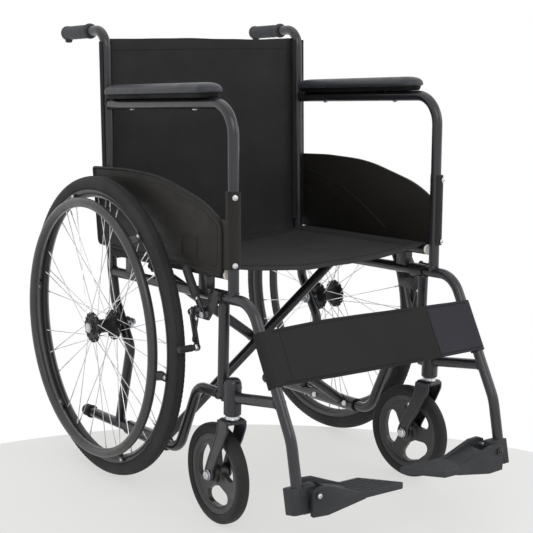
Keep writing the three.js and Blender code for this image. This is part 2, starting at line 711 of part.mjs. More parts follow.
function pivotBolt() {
  const reach = BRACE_OFFSET + TUBE + 0.6;
  const profile = [
    [0, -reach - 6], [8, -reach - 6], [8, -reach], [PIVOT_BOLT, -reach], [PIVOT_BOLT, reach], [8, reach],
    [8, reach + 5], [PIVOT_BOLT, reach + 5], [PIVOT_BOLT, reach + 8], [0, reach + 8],
  ];
  const turn = -90 - THREE.MathUtils.radToDeg(RAIL_TILT);
  return turnedZ(profile, 10, 0, 0, 0).rotate([turn, 0, 0]).translate([0, PIVOT_Y, PIVOT_Z]);
}

function railPlug(s, rear) {
  const y = rear ? SEAT_RAIL_REAR : SEAT_RAIL_FRONT;
  const out = rear ? 1 : -1;
  const at = (d) => [s * HALF_TRACK, y + out * d, seatRailAxis(y + out * d)];
  return join(rod(at(0.4), at(4), TUBE), rod(at(-12), at(1), TUBE - 2.2));
}

// ---- soft parts, as plain solids ----

function seat() {
  const half = HALF_TRACK + 6;
  const top = [];
  const bottom = [];
  const stations = 8;
  for (let i = 0; i <= stations; i += 1) {
    const t = (i / stations) * 2 - 1;
    const sag = 18 * (1 - t * t);
    top.push(new THREE.Vector2(t * half, 19 - sag));
    bottom.push(new THREE.Vector2(t * half, 10.8 - sag));
  }
  const shape = new THREE.Shape([...bottom, ...top.reverse()]);
  const length = 400;
  const geometry = new THREE.ExtrudeGeometry(shape, { depth: length, bevelEnabled: false });
  geometry.rotateX(Math.PI / 2);
  geometry.translate(0, length, 0);
  geometry.rotateX(-RAIL_TILT);
  const front = SEAT_RAIL_FRONT + 3;
  geometry.translate(0, front, seatRailAxis(front));
  return upright(geometry);
}

function backPanel() {
  const half = HALF_TRACK - TUBE - 1;
  const lean = 0.052;
  const at = (z) => 52 + (z - 480) * lean;
  const low = 420;
  const high = 861;
  const outline = [[at(low) - 4, low], [at(high) - 4, high], [at(high) + 4, high], [at(low) + 4, low]];
  return plateX(outline, -half, half);
}

function calfStrap() {
  const half = HALF_TRACK - TUBE - 1;
  const stations = 8;
  const front = [];
  const back = [];
  for (let i = 0; i <= stations; i += 1) {
    const t = (i / stations) * 2 - 1;
    const sag = 14 * (1 - t * t);
    front.push(new THREE.Vector2(t * half, -2.5 + sag));
    back.push(new THREE.Vector2(t * half, 2.5 + sag));
  }
  const shape = new THREE.Shape([...front, ...back.reverse()]);
  const low = new THREE.Vector3(0, -541, 303);
  const high = new THREE.Vector3(0, -480, 387);
  const up = high.clone().sub(low);
  const length = up.length();
  const geometry = new THREE.ExtrudeGeometry(shape, { depth: length, bevelEnabled: false });
  geometry.rotateX(-Math.atan2(up.y, up.z));
  geometry.translate(low.x, low.y, low.z);
  return upright(geometry);
}

// ---- assembly ----

function sideFrame(side, s) {
  const group = new THREE.Group();
  group.name = `${side}_side`;
  group.add(
    node(`${side}_back_post`, backPost(s), PAINT),
    node(`${side}_armrest_tube`, armrestTube(s), PAINT),
    node(`${side}_side_rail`, sideRail(s), PAINT),
    node(`${side}_lower_rail`, lowerRail(s), PAINT),
    node(`${side}_front_post`, frontPost(s), PAINT),
    node(`${side}_caster_housing`, casterHousing(s), PAINT),
    node(`${side}_caster_strut`, casterStrut(s), PAINT),
    node(`${side}_tip_cap`, tipCap(s), RUBBER),
    node(`${side}_grip`, grip(s), RUBBER),
    node(`${side}_armrest_pad`, armrestPad(s), PAD_SKIN),
    node(`${side}_skirt_guard`, skirtGuard(s), PLASTIC),
    node(`${side}_wheel_axle`, axle(s), ZINC),
    node(`${side}_wheel_tyre`, tyre(s), RUBBER),
    node(`${side}_wheel_rim`, rim(s), PAINT),
    node(`${side}_wheel_spoked_hub`, spokedHub(s), ZINC),
    node(`${side}_handrim`, handrim(s), PAINT),
    node(`${side}_brake_bracket`, brakeBracket(s), PAINT),
    node(`${side}_brake_lever`, brakeLever(s), PAINT),
    node(`${side}_brake_shoe`, brakeShoe(s), PAINT),
    node(`${side}_footplate_clamp`, footClamp(s), PLASTIC),
    node(`${side}_footplate`, footplate(s), PLASTIC),
    caster(side, s, s < 0 ? RIGHT_SWIVEL : LEFT_SWIVEL),
  );
  return group;
}

const chair = new THREE.Group();
chair.name = 'wheelchair_parts';
chair.add(
  sideFrame('right', -1),
  sideFrame('left', 1),
  brace(-1, -BRACE_OFFSET, 'brace_front'),
  brace(1, BRACE_OFFSET, 'brace_rear'),
  node('brace_pivot_bolt', pivotBolt(), ZINC),
  node('left_seat_rail_front_plug', railPlug(1, false), WHITE),
  node('left_seat_rail_rear_plug', railPlug(1, true), WHITE),
  node('right_seat_rail_front_plug', railPlug(-1, false), WHITE),
  node('right_seat_rail_rear_plug', railPlug(-1, true), WHITE),
  node('seat_sling', seat(), NYLON),
  node('back_sling', backPanel(), NYLON),
  node('calf_strap', calfStrap(), NYLON),
);

const wheelchair = new THREE.Group();
wheelchair.name = 'wheelchair';
wheelchair.add(chair);
wheelchair.updateMatrixWorld(true);
const extent = new THREE.Box3().setFromObject(chair, true);
chair.position.set(-(extent.min.x + extent.max.x) / 2, -(extent.min.y + extent.max.y) / 2, -extent.min.z);
wheelchair.updateMatrixWorld(true);

export default wheelchair;
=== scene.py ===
import math
from math import cos, pi, radians, sin

import bmesh
import bpy
from mathutils import Matrix, Vector, noise
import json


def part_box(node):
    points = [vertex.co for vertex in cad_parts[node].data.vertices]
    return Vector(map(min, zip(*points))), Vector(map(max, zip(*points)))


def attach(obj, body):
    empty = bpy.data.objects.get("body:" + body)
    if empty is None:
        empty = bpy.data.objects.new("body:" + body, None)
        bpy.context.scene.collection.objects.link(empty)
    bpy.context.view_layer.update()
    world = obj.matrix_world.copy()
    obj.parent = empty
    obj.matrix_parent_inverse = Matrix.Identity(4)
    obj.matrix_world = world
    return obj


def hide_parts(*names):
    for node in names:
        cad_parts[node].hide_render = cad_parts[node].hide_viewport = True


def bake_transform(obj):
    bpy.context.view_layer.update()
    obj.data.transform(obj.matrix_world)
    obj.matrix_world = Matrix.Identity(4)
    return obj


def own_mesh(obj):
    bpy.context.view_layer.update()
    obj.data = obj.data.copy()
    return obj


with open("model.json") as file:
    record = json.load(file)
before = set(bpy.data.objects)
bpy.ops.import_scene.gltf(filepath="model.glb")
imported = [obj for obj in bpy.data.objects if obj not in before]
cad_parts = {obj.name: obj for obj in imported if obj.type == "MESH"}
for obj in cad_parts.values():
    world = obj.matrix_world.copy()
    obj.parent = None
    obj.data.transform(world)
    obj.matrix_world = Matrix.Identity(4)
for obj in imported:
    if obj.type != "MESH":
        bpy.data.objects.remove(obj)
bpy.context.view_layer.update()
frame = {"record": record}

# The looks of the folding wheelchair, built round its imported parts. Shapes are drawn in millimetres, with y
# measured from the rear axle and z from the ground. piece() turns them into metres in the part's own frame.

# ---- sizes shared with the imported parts, in millimetres ----

tyre_low, tyre_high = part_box("right_wheel_tyre")
AXLE_Y = (tyre_low.y + tyre_high.y) / 2  # metres, in the part's frame
MM = 0.001
SIDES = (("right", -1), ("left", 1))  # each side's name and its sign on x, which is s below
HALF_TRACK = 235
TUBE = 10
RAIL_SLOPE = 0.072
WHEEL_RADIUS = 300
WHEEL_PLANE = 281
HANDRIM_PLANE = 312.5
HANDRIM_RADIUS = 250
HANDRIM_TUBE = 9.5
HANDRIM_TABS = 6
FIRST_TAB = radians(38)
TREAD_BLOCKS = 180
SPOKES_PER_FLANGE = 18
CASTER_RADIUS = 94.4
CASTER_TRAIL = 46
CASTER_STEM_Y = -401
SWIVEL = {"right": radians(-1.2), "left": radians(8)}
FIRST_WINDOW = {"right": 20, "left": 0}  # degrees, where a window of the caster's core stands
POST_PATH = [(15, 84), (-31, 257), (31, 341), (46, 409), (52, 480), (70, 826), (72, 880.8), (232, 867.4)]
POST_RADII = [34, 30, 60, 120, 300, 36]
BACK_SCREWS = (492, 690, 846)
ARMREST_PATH = [(58, 735.7), (-387, 775), (-398.5, 432)]
ARMREST_SLOPE = math.atan2(775 - 735.7, -387 - 58) + pi
RAIL_PATH = [(45, 398.8), (-454, 434.8), (-581, 222), (-607, 116)]
LOWER_PATH = [(156, 74), (-220, 101), (-286, 243), (-369, 249)]
PIVOT_Y = -133
PIVOT_Z = 269
LOWER_HINGE_Z = 94.7
SEAT_RAIL_Z = 455
SEAT_RAIL_FRONT = -377.5
SEAT_RAIL_REAR = 27
SLEEVE_FRONT = -176
SLEEVE_REAR = -26
BRACE_OFFSET = 10.6
FOOT_PIVOT_X = 210
FOOT_PIVOT_Z = 137
FOOT_LEG_Y = -602
LEVER_PIVOT = (-332, 392)
LEVER_KNOB = (-276, 465)
SHOE_PIVOT = (-293, 389)
SHOE_ROD = (-314, 327)
LOCK_PLANE = 254  # the inner face of the lever and of the shoe's arm

bodies = frame["record"]["behaviour"]["bodies"]
body_of_node = {node: body for body, nodes in bodies.items() for node in nodes}

# ---- shapes: each is (points, faces) or (points, faces, uvs), closed, in millimetres ----


def bend(corners, radii, step=0.11):
    """Replaces each inner corner of a line of points by an arc."""
    corners = [Vector(c) for c in corners]
    path = [corners[0]]
    for i in range(1, len(corners) - 1):
        corner = corners[i]
        back = (corners[i - 1] - corner).normalized()
        on = (corners[i + 1] - corner).normalized()
        half = back.angle(on) / 2
        radius = radii[i - 1]
        reach = radius / math.tan(half)
        centre = corner + (back + on).normalized() * (radius / sin(half))
        start = corner + back * reach - centre
        end = corner + on * reach - centre
        turn = start.angle(end)
        count = max(2, math.ceil(turn / step))
        for k in range(count + 1):
            share = k / count
            a = sin((1 - share) * turn) / sin(turn)
            b = sin(share * turn) / sin(turn)
            path.append(centre + start * a + end * b)
    path.append(corners[-1])
    return path


def in_plane(x, path):
    return [Vector((x, y, z)) for y, z in path]


def rings(loops, closed=False):
    """Joins loops of points into a skin. Its ends are capped unless the last loop meets the first."""
    count = len(loops[0])
    points = [p for loop in loops for p in loop]
    faces = []
    total = len(loops)
    for i in range(total if closed else total - 1):
        here, there = i * count, (i + 1) % total * count
        for k in range(count):
            on = (k + 1) % count
            faces.append((here + k, here + on, there + on, there + k))
    if not closed:
        faces.append(tuple(range(count))[::-1])
        faces.append(tuple(range((total - 1) * count, total * count)))
    return points, faces


def along(path):
    """The place and the two cross directions at each point of a line, without twist."""
    path = [Vector(p) for p in path]
    normal = None
    for i, here in enumerate(path):
        back = here - path[i - 1] if i else path[1] - here
        on = path[i + 1] - here if i + 1 < len(path) else back
        tangent = (back.normalized() + on.normalized()).normalized()
        if normal is None:
            normal = tangent.orthogonal()
        normal = (normal - tangent * normal.dot(tangent)).normalized()
        yield here, normal, tangent.cross(normal)


def circle(here, across, up, radius, sides):
    turns = [2 * pi * k / sides for k in range(sides)]
    return [here + across * (radius * cos(a)) + up * (radius * sin(a)) for a in turns]


def tube(path, radius, sides=24, ease=0.7):
    """A round bar along a line of points, with its end edges eased."""
    path = [Vector(p) for p in path]
    first = path[0] + (path[1] - path[0]).normalized() * ease
    last = path[-1] + (path[-2] - path[-1]).normalized() * ease
    path = [path[0], first, *path[1:-1], last, path[-1]]
    radii = [radius - ease, radius, *[radius] * (len(path) - 4), radius, radius - ease]
    return rings([circle(*place, r, sides) for place, r in zip(along(path), radii)])


def sleeve(path, outer, inner, sides=28, start=0.0, end=2 * pi, across=None):
    """A pipe along a line of points, or the part of its round from start to end, measured from across."""
    loops = []
    whole = end - start > 2 * pi - 0.01
    for here, normal, side in along(path):
        if across is not None:
            tangent = normal.cross(side)
            normal = (across - tangent * across.dot(tangent)).normalized()
            side = tangent.cross(normal)
        count = sides if whole else sides + 1
        turns = [start + (end - start) * k / sides for k in range(count)]
        outside = [here + (normal * cos(a) + side * sin(a)) * outer for a in turns]
        inside = [here + (normal * cos(a) + side * sin(a)) * inner for a in turns]
        loops.append((outside, inside))
    if not whole:
        return rings([outside + inside[::-1] for outside, inside in loops])
    skin = [outside for outside, inside in loops] + [inside for outside, inside in loops[::-1]]
    return rings(skin, closed=True)


def lathe(profile, segments=48, centre=(0, 0, 0), axis="X"):
    """(radius, along) pairs turned about an axis. The profile is closed, or starts and ends on the axis."""
    centre = Vector(centre)
    loops = []
    for k in range(segments):
        a = 2 * pi * k / segments
        loop = []
        for r, t in profile:
            c, s = r * cos(a), r * sin(a)
            loop.append(centre + Vector({"X": (t, c, s), "Y": (c, t, s), "Z": (c, s, t)}[axis]))
        loops.append(loop)
    points, faces = rings(loops, closed=True)
    if profile[0][0] == 0:
        count = len(profile)
        faces = [f for i, f in enumerate(faces) if i % count != count - 1]
    return points, faces


def mirrored(half):
    """A profile that goes on from its last point as its own mirror image, back to the start."""
    return half + [(r, -t) for r, t in half[-2::-1]]


def ring_points(count):
    """Directions evenly spaced round X, as (angle, outward vector)."""
    for k in range(count):
        a = 2 * pi * k / count
        yield a, Vector((0, cos(a), sin(a)))


def area_of(outline):
    return sum(p[0] * q[1] - q[0] * p[1] for p, q in zip(outline, [*outline[1:], outline[0]])) / 2


def anticlockwise(outline):
    return list(outline) if area_of(outline) > 0 else list(outline)[::-1]


def inset(outline, by):
    """A closed outline moved inwards by a distance."""
    shifted = []
    for i, here in enumerate(outline):
        back = Vector(here) - Vector(outline[i - 1])
        on = Vector(outline[(i + 1) % len(outline)]) - Vector(here)
        first = Vector((-back.y, back.x)).normalized()
        second = Vector((-on.y, on.x)).normalized()
        shifted.append(Vector(here) + (first + second) * (by / (1 + first.dot(second))))
    return shifted


def rounded(corners, radius, step=0.3):
    """A closed outline with its corners rounded. radius is one number, or one for each corner."""
    radii = radius if isinstance(radius, list) else [radius] * len(corners)
    if area_of(corners) < 0:
        radii = radii[::-1]
    corners = [Vector((*c, 0)) for c in anticlockwise(corners)]
    outline = []
    for i, corner in enumerate(corners):
        arc = bend([corners[i - 1], corner, corners[(i + 1) % len(corners)]], [radii[i]], step)[1:-1]
        outline += [(p.x, p.y) for p in arc]
    return outline


def layers(outline, steps):
    """An outline stacked along its normal. Each step is (inset, height)."""
    outline = anticlockwise(outline)
    return rings([[Vector((*p, height)) for p in inset(outline, by)] for by, height in steps])


def plate(outline, low, high, ease=0.8):
    """An outline with a thickness and eased edges."""
    steps = [(ease, low), (ease * 0.3, low + ease * 0.3), (0, low + ease)]
    steps += [(0, high - ease), (ease * 0.3, high - ease * 0.3), (ease, high)]
    return layers(outline, steps)


def block(size, radius=2, ease=0.8):
    """A box centred on the origin with rounded upright corners and eased edges."""
    x, y, z = (n / 2 for n in size)
    return plate(rounded([(-x, -y), (x, -y), (x, y), (-x, y)], radius), -z, z, ease)


def slot_outline(start, end, width):
    """An outline with round ends about two points."""
    start, end = Vector(start), Vector(end)
    out = (end - start).normalized() * (width / 2)
    side = Vector((-out.y, out.x))
    corners = [start - out + side, start - out - side, end + out - side, end + out + side]
    return rounded([tuple(c) for c in corners], width / 2 - 0.01, 0.35)


# ACROSS is for (y, z) outlines with a thickness on X, and UPRIGHT for (x, z) outlines with a thickness on Y.
ACROSS = Matrix(((0, 0, 1, 0), (1, 0, 0, 0), (0, 1, 0, 0), (0, 0, 0, 1)))
UPRIGHT = Matrix(((1, 0, 0, 0), (0, 0, 1, 0), (0, 1, 0, 0), (0, 0, 0, 1)))
SIDEWAYS = Vector((1, 0, 0))
UP = Vector((0, 0, 1))


def moved(place):
    return Matrix.Translation(place)


def turned(angle, axis="X"):
    return Matrix.Rotation(angle, 4, axis)


def flipped(s):
    """Mirrors a shape that is drawn for the left side when s is -1."""
    return Matrix.Diagonal((s, 1, 1, 1))


def facing(place, direction):
    """Stands a shape that was drawn on Z at a place, in a direction."""
    return moved(place) @ Vector(direction).to_track_quat("Z", "Y").to_matrix().to_4x4()


HEX = [(cos(pi * k / 3), sin(pi * k / 3)) for k in range(6)]


def nut(radius, height):
    """A hexagon nut or bolt head standing on z = 0."""
    outline = [(x * radius, y * radius) for x, y in HEX]
    steps = [(0, 0), (0, height * 0.8), (radius * 0.1, height), (radius * 0.45, height * 1.02)]
    return layers(outline, steps)


def screw_head(radius):
    """A domed head with a round recess, standing on z = 0."""
    dome = [(1, 0), (1, 0.12), (0.9, 0.34), (0.66, 0.52), (0.42, 0.58), (0.36, 0.3), (0, 0.24)]
    return lathe([(0, 0)] + [(r * radius, z * radius) for r, z in dome], 20, axis="Z")


def washer(radius, height):
    profile = [(0, 0), (radius, 0), (radius, height * 0.7), (radius - 0.4, height), (0, height)]
    return lathe(profile, 24, axis="Z")


class Solid:
    """Closed shells gathered into one mesh, with the number of the look on each face."""

    def __init__(self):
        self.points, self.faces, self.looks, self.uvs = [], [], [], []

    def add(self, shape, look=0, turn=None):
        points, faces = shape[:2]
        first = len(self.points)
        self.points += [turn @ Vector(p) if turn else Vector(p) for p in points]
        self.faces += [tuple(first + i for i in face) for face in faces]
        self.looks += [look] * len(faces)
        self.uvs += shape[2] if len(shape) > 2 else [(0, 0)] * len(points)
        return self

    def shift(self, turn):
        """Takes all the shells to another place."""
        self.points = [turn @ p for p in self.points]


def piece(name, solid, looks, body=None, stands_for=(), sharp=38):
    """Makes the object, and has it ride on a body and stand for CAD nodes."""
    mesh = bpy.data.meshes.new(name)
    at_home = [(p.x * MM, p.y * MM + AXLE_Y, p.z * MM) for p in solid.points]
    mesh.from_pydata(at_home, [], solid.faces)
    for look in looks:
        mesh.materials.append(look)
    mesh.polygons.foreach_set("material_index", solid.looks)
    layer = mesh.uv_layers.new(name="UVMap")
    for loop in mesh.loops:
        layer.data[loop.index].uv = solid.uvs[loop.vertex_index]
    bm = bmesh.new()
    bm.from_mesh(mesh)
    bmesh.ops.remove_doubles(bm, verts=bm.verts, dist=1e-6)
    bmesh.ops.dissolve_degenerate(bm, edges=bm.edges, dist=1e-7)
    bmesh.ops.recalc_face_normals(bm, faces=bm.faces)
    for face in bm.faces:
        face.smooth = True
    for edge in bm.edges:
        edge.smooth = len(edge.link_faces) != 2 or edge.calc_face_angle(0) < radians(sharp)
    bm.to_mesh(mesh)
    bm.free()
    made = bpy.data.objects.new(name, mesh)
    bpy.context.scene.collection.objects.link(made)
    if stands_for:
        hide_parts(*stands_for)
    if body:
        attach(made, body)
    return made


# ---- looks ----


class Look:
    """A Principled material with small helpers for its pattern."""

    def __init__(self, name, **plain):
        self.material = bpy.data.materials.new(name)
        self.material.use_nodes = True
        self.tree = self.material.node_tree
        self.shader = next(n for n in self.tree.nodes if n.type == "BSDF_PRINCIPLED")
        for socket, value in plain.items():
            self.shader.inputs[socket.replace("_", " ")].default_value = value
        place = self.tree.nodes.new("ShaderNodeTexCoord")
        self.where = place.outputs["Object"]
        self.cloth = place.outputs["UV"]

    def node(self, kind, links, **settings):
        made = self.tree.nodes.new(kind)
        for key, value in settings.items():
            setattr(made, key, value)
        for key, value in links.items():
            if hasattr(value, "is_output"):
                self.tree.links.new(value, made.inputs[key])
            else:
                made.inputs[key].default_value = value
        return made

    def stretched(self, where, scale):
        return self.node("ShaderNodeMapping", {"Vector": where, "Scale": scale}).outputs["Vector"]

    def noise(self, scale, detail=3, where=None, distortion=0):
        links = {"Vector": where or self.where, "Scale": scale, "Detail": detail, "Distortion": distortion}
        return self.node("ShaderNodeTexNoise", links).outputs["Fac"]

    def cells(self, scale, where=None, feature="F1"):
        links = {"Vector": where or self.where, "Scale": scale}
        return self.node("ShaderNodeTexVoronoi", links, feature=feature).outputs["Distance"]

    def bands(self, scale, where, direction):
        links = {"Vector": where, "Scale": scale}
        return self.node("ShaderNodeTexWave", links, bands_direction=direction).outputs["Fac"]

    def span(self, value, low, high, start=0.3, end=0.7):
        links = {"Value": value, "From Min": start, "From Max": end, "To Min": low, "To Max": high}
        return self.node("ShaderNodeMapRange", links).outputs["Result"]

    def maths(self, operation, a, b):
        return self.node("ShaderNodeMath", {0: a, 1: b}, operation=operation).outputs[0]

    def tone(self, value, dark, light, start=0.3, end=0.72):
        """Goes from one colour to another as a value goes from start to end."""
        ramp = self.node("ShaderNodeValToRGB", {"Fac": value})
        for element, at, colour in zip(ramp.color_ramp.elements, (start, end), (dark, light)):
            element.position = at
            element.color = (*colour, 1)
        return ramp.outputs["Color"]

    def mixed(self, share, below, colour, level=1.0):
        """Lays a colour over another by a share. level brightens or darkens the colour first."""
        over = (*[level * c for c in colour], 1)
        return self.node("ShaderNodeMix", {0: share, 6: below, 7: over}, data_type="RGBA").outputs[2]

    def bump(self, height, strength, distance, below=None):
        links = {"Height": height, "Strength": strength, "Distance": distance}
        if below:
            links["Normal"] = below
        return self.node("ShaderNodeBump", links).outputs["Normal"]

    def finish(self, colour, roughness, normal):
        self.tree.links.new(colour, self.shader.inputs["Base Color"])
        self.tree.links.new(roughness, self.shader.inputs["Roughness"])
        self.tree.links.new(normal, self.shader.inputs["Normal"])
        return self.material


def grey(level, warm=0.0):
    return (level * (1 + warm), level, level * (1 - warm))


def painted(name, dark, light, rough):
    """Powder-coated steel: an even colour with a fine orange peel, faint dust and a few rubbed scuffs."""
    look = Look(name, Specular_IOR_Level=0.42, Coat_Weight=0.3, Coat_Roughness=0.16)
    tone = look.tone(look.noise(14, 4), dark, light, 0.35, 0.7)
    scuff = look.noise(160, 4, look.stretched(look.where, (1, 1, 0.25)), 0.6)
    scuffed = look.mixed(look.span(scuff, 0.0, 0.55, 0.68, 0.8), tone, grey(0.075))
    roughness = look.span(look.noise(45, 3), rough - 0.06, rough + 0.08)
    peel = look.bump(look.noise(1500, 2), 0.10, 0.0002)
    return look.finish(scuffed, roughness, look.bump(look.noise(90, 2), 0.05, 0.0006, peel))


def fabric(name, dark, light, sheen, pitch=0.0016, crease=1.0):
    """Woven nylon. The weave runs with the cloth's own lengths, which its UVs hold in metres."""
    look = Look(name, Specular_IOR_Level=0.04, Sheen_Weight=sheen, Sheen_Roughness=0.45)
    look.shader.inputs["Sheen Tint"].default_value = (0.85, 0.84, 0.95, 1)
    rate = 1 / pitch / 3.14
    weave = look.maths("MAXIMUM", look.bands(rate, look.cloth, "X"), look.bands(rate, look.cloth, "Y"))
    patchy = look.noise(9, 5, look.cloth, 0.4)
    fuzz = look.noise(420, 2, look.cloth)
    threads = look.mixed(look.span(weave, 0.0, 0.45, 0.2, 0.95), look.tone(patchy, dark, light), light, 1.7)
    dusty = look.mixed(look.span(fuzz, 0.0, 0.25, 0.6, 0.8), threads, light, 2.4)
    roughness = look.span(patchy, 0.68, 0.86)
    deep = look.bump(look.noise(7, 3, look.stretched(look.cloth, (1.6, 1, 1)), 1.2), 0.35 * crease, 0.006)
    fine = look.bump(look.noise(38, 3, look.cloth, 0.8), 0.25 * crease, 0.0012, deep)
    return look.finish(dusty, roughness, look.bump(weave, 0.35, 0.0003, fine))


def rubbery(name, dark, light, rough, grain=900):
    """Matt rubber with a dusty bloom and a fine grain."""
    look = Look(name, Specular_IOR_Level=0.16, Sheen_Weight=0.02, Sheen_Roughness=0.5)
    bloom = look.tone(look.noise(11, 5, distortion=0.3), dark, light, 0.32, 0.7)
    specks = look.span(look.noise(520, 2), 0.0, 0.35, 0.62, 0.78)
    colour = look.mixed(specks, bloom, light, 1.9)
    roughness = look.span(look.noise(30, 3), rough - 0.08, rough + 0.08)
    coarse = look.bump(look.noise(grain / 3, 3), 0.16, 0.0006)
    return look.finish(colour, roughness, look.bump(look.cells(grain), 0.2, 0.0003, coarse))


def moulded(name, dark, light, rough, grain=1100, shine=0.2):
    """Moulded plastic with a spark-eroded grain and slightly glossier rubbed areas."""
    look = Look(name, Specular_IOR_Level=shine)
    tone = look.tone(look.noise(7, 4), dark, light)
    rubbed = look.noise(60, 4, look.stretched(look.where, (1, 0.4, 1)), 0.5)
    colour = look.mixed(look.span(rubbed, 0.0, 0.3, 0.62, 0.8), tone, light, 1.8)
    roughness = look.span(rubbed, rough + 0.07, rough - 0.09)
    flow = look.bump(look.noise(25, 2), 0.08, 0.001)
    return look.finish(colour, roughness, look.bump(look.cells(grain), 0.3, 0.00025, flow))


def leathery(name, dark, light, rough):
    """Vinyl skin over foam, with a leather grain and soft dimples."""
    look = Look(name, Specular_IOR_Level=0.35, Sheen_Weight=0.04, Sheen_Roughness=0.35)
    tone = look.tone(look.noise(16, 4), dark, light)
    grain = look.cells(520, feature="DISTANCE_TO_EDGE")
    colour = look.mixed(look.span(grain, 0.4, 0.0, 0.0, 0.12), tone, dark, 0.5)
    roughness = look.span(look.noise(40, 3), rough - 0.05, rough + 0.09)
    soft = look.bump(look.noise(28, 2), 0.12, 0.0015)
    return look.finish(colour, roughness, look.bump(grain, 0.3, 0.0004, soft))


def metallic(name, dark, light, rough, brush=(1, 1, 1)):
    """Bright zinc or steel with brushing and dull spots."""
    look = Look(name, Metallic=1.0)
    tone = look.tone(look.noise(60, 4), dark, light, end=0.7)
    roughness = look.span(look.noise(300, 4, look.stretched(look.where, brush)), rough - 0.1, rough + 0.14)
    return look.finish(tone, roughness, look.bump(look.noise(900, 2), 0.12, 0.0002))


PAINT = painted("frame_paint", (0.0115, 0.0108, 0.0145), (0.0160, 0.0150, 0.0200), 0.32)
RIM_PAINT = painted("rim_paint", grey(0.0085), grey(0.0135), 0.4)
LOCK_PAINT = painted("lock_paint", grey(0.007, 0.02), grey(0.012, 0.02), 0.5)
HANDRIM = painted("handrim_paint", grey(0.024, 0.02), grey(0.034, 0.02), 0.42)
NYLON = fabric("nylon", grey(0.0160), grey(0.0255), 0.01, crease=1.9)
# The seat's copy of the back's nylon is painted light: the same cloth, made lighter for how dimly the seat is
# lit.
SEAT_NYLON_PAINTED_LIGHT = fabric("seat_nylon_painted_light", grey(0.0215), grey(0.0320), 0.01, crease=1.9)
STRAP = fabric("strap_nylon", grey(0.0150), grey(0.0215), 0.02, crease=1.1)
FLAP = fabric("strap_flap", (0.0235, 0.0230, 0.0275), (0.0310, 0.0300, 0.0360), 0.03, crease=0.8)
THREAD = fabric("thread", grey(0.014), grey(0.022), 0.02, pitch=0.0006, crease=0.2)
TYRE = rubbery("tyre_rubber", grey(0.023), grey(0.034), 0.72)
TIP = rubbery("tip_rubber", grey(0.018), grey(0.028), 0.7)
GRIP = rubbery("grip_rubber", (0.042, 0.045, 0.050), (0.058, 0.062, 0.069), 0.66)
CASTER_RUBBER = rubbery("caster_rubber", grey(0.017), grey(0.026), 0.60)
GUARD = moulded("guard_plastic", (0.0125, 0.0115, 0.0105), (0.0170, 0.0155, 0.0145), 0.50)
# The pad's base: black plastic, made darker still as painted shade where the pad's lower band faces down.
PAD_BASE_SHADE = moulded("pad_base_painted_shade", grey(0.006), grey(0.010), 0.6, shine=0.08)
CORE = moulded("caster_plastic", grey(0.018), grey(0.027), 0.34, shine=0.5)
HUB = moulded("hub_plastic", grey(0.014), grey(0.022), 0.42)
FOOT = moulded("foot_plastic", (0.029, 0.030, 0.032), (0.041, 0.043, 0.046), 0.5, 700)
LEVER = moulded("lever_plastic", grey(0.026), grey(0.038), 0.5)
VINYL = leathery("pad_vinyl", (0.024, 0.025, 0.031), (0.033, 0.035, 0.042), 0.42)
ZINC = metallic("zinc", (0.48, 0.50, 0.52), (0.70, 0.71, 0.73), 0.34)
SPOKE = metallic("spoke_steel", (0.62, 0.63, 0.64), (0.82, 0.83, 0.84), 0.30, (1, 1, 8))
WHITE = moulded("white_plastic", (0.62, 0.58, 0.52), (0.76, 0.73, 0.68), 0.42, shine=0.5)

# ---- side frames ----


def rail_z(y):
    """Height of the side rail's axis on its long straight."""
    return RAIL_PATH[0][1] + (RAIL_PATH[0][0] - y) * RAIL_SLOPE


def seat_rail_z(y):
    return SEAT_RAIL_Z + (PIVOT_Y - y) * RAIL_SLOPE


def armrest_z(y):
    """Height of the armrest tube's axis under the pad."""
    return ARMREST_PATH[0][1] + (y - ARMREST_PATH[0][0]) * math.tan(ARMREST_SLOPE)


def post_y(z):
    """Depth of the back post's axis on its long straight."""
    (y0, z0), (y1, z1) = POST_PATH[4], POST_PATH[5]
    return y0 + (z - z0) * (y1 - y0) / (z1 - z0)


def weld_bead(place, direction, radius, size=1.7):
    """A run of weld round a tube's end, a little uneven."""
    axis = Vector(direction).normalized()
    loops = []
    across = axis.orthogonal().normalized()
    up = axis.cross(across)
    for k in range(40):
        a = 2 * pi * k / 40
        out = across * cos(a) + up * sin(a)
        thick = size * (1 + 0.16 * sin(k * 2.7) + 0.1 * sin(k * 1.3))
        centre = Vector(place) + out * (radius + 0.2)
        loops.append(circle(centre, out, axis, thick, 8))
    return rings(loops, closed=True)


LOWER_TILT = 0.0717  # the slope of the lower rail, in radians
FRAME_TUBES = (
    ("back_post", POST_PATH, POST_RADII),
    ("armrest_tube", ARMREST_PATH, [54]),
    ("lower_rail", LOWER_PATH, [45, 38]),
    ("front_post", [(-369, 246), (-369, 430)], []),
    ("caster_strut", [(-404, 252), (-551, 280.8)], []),
)


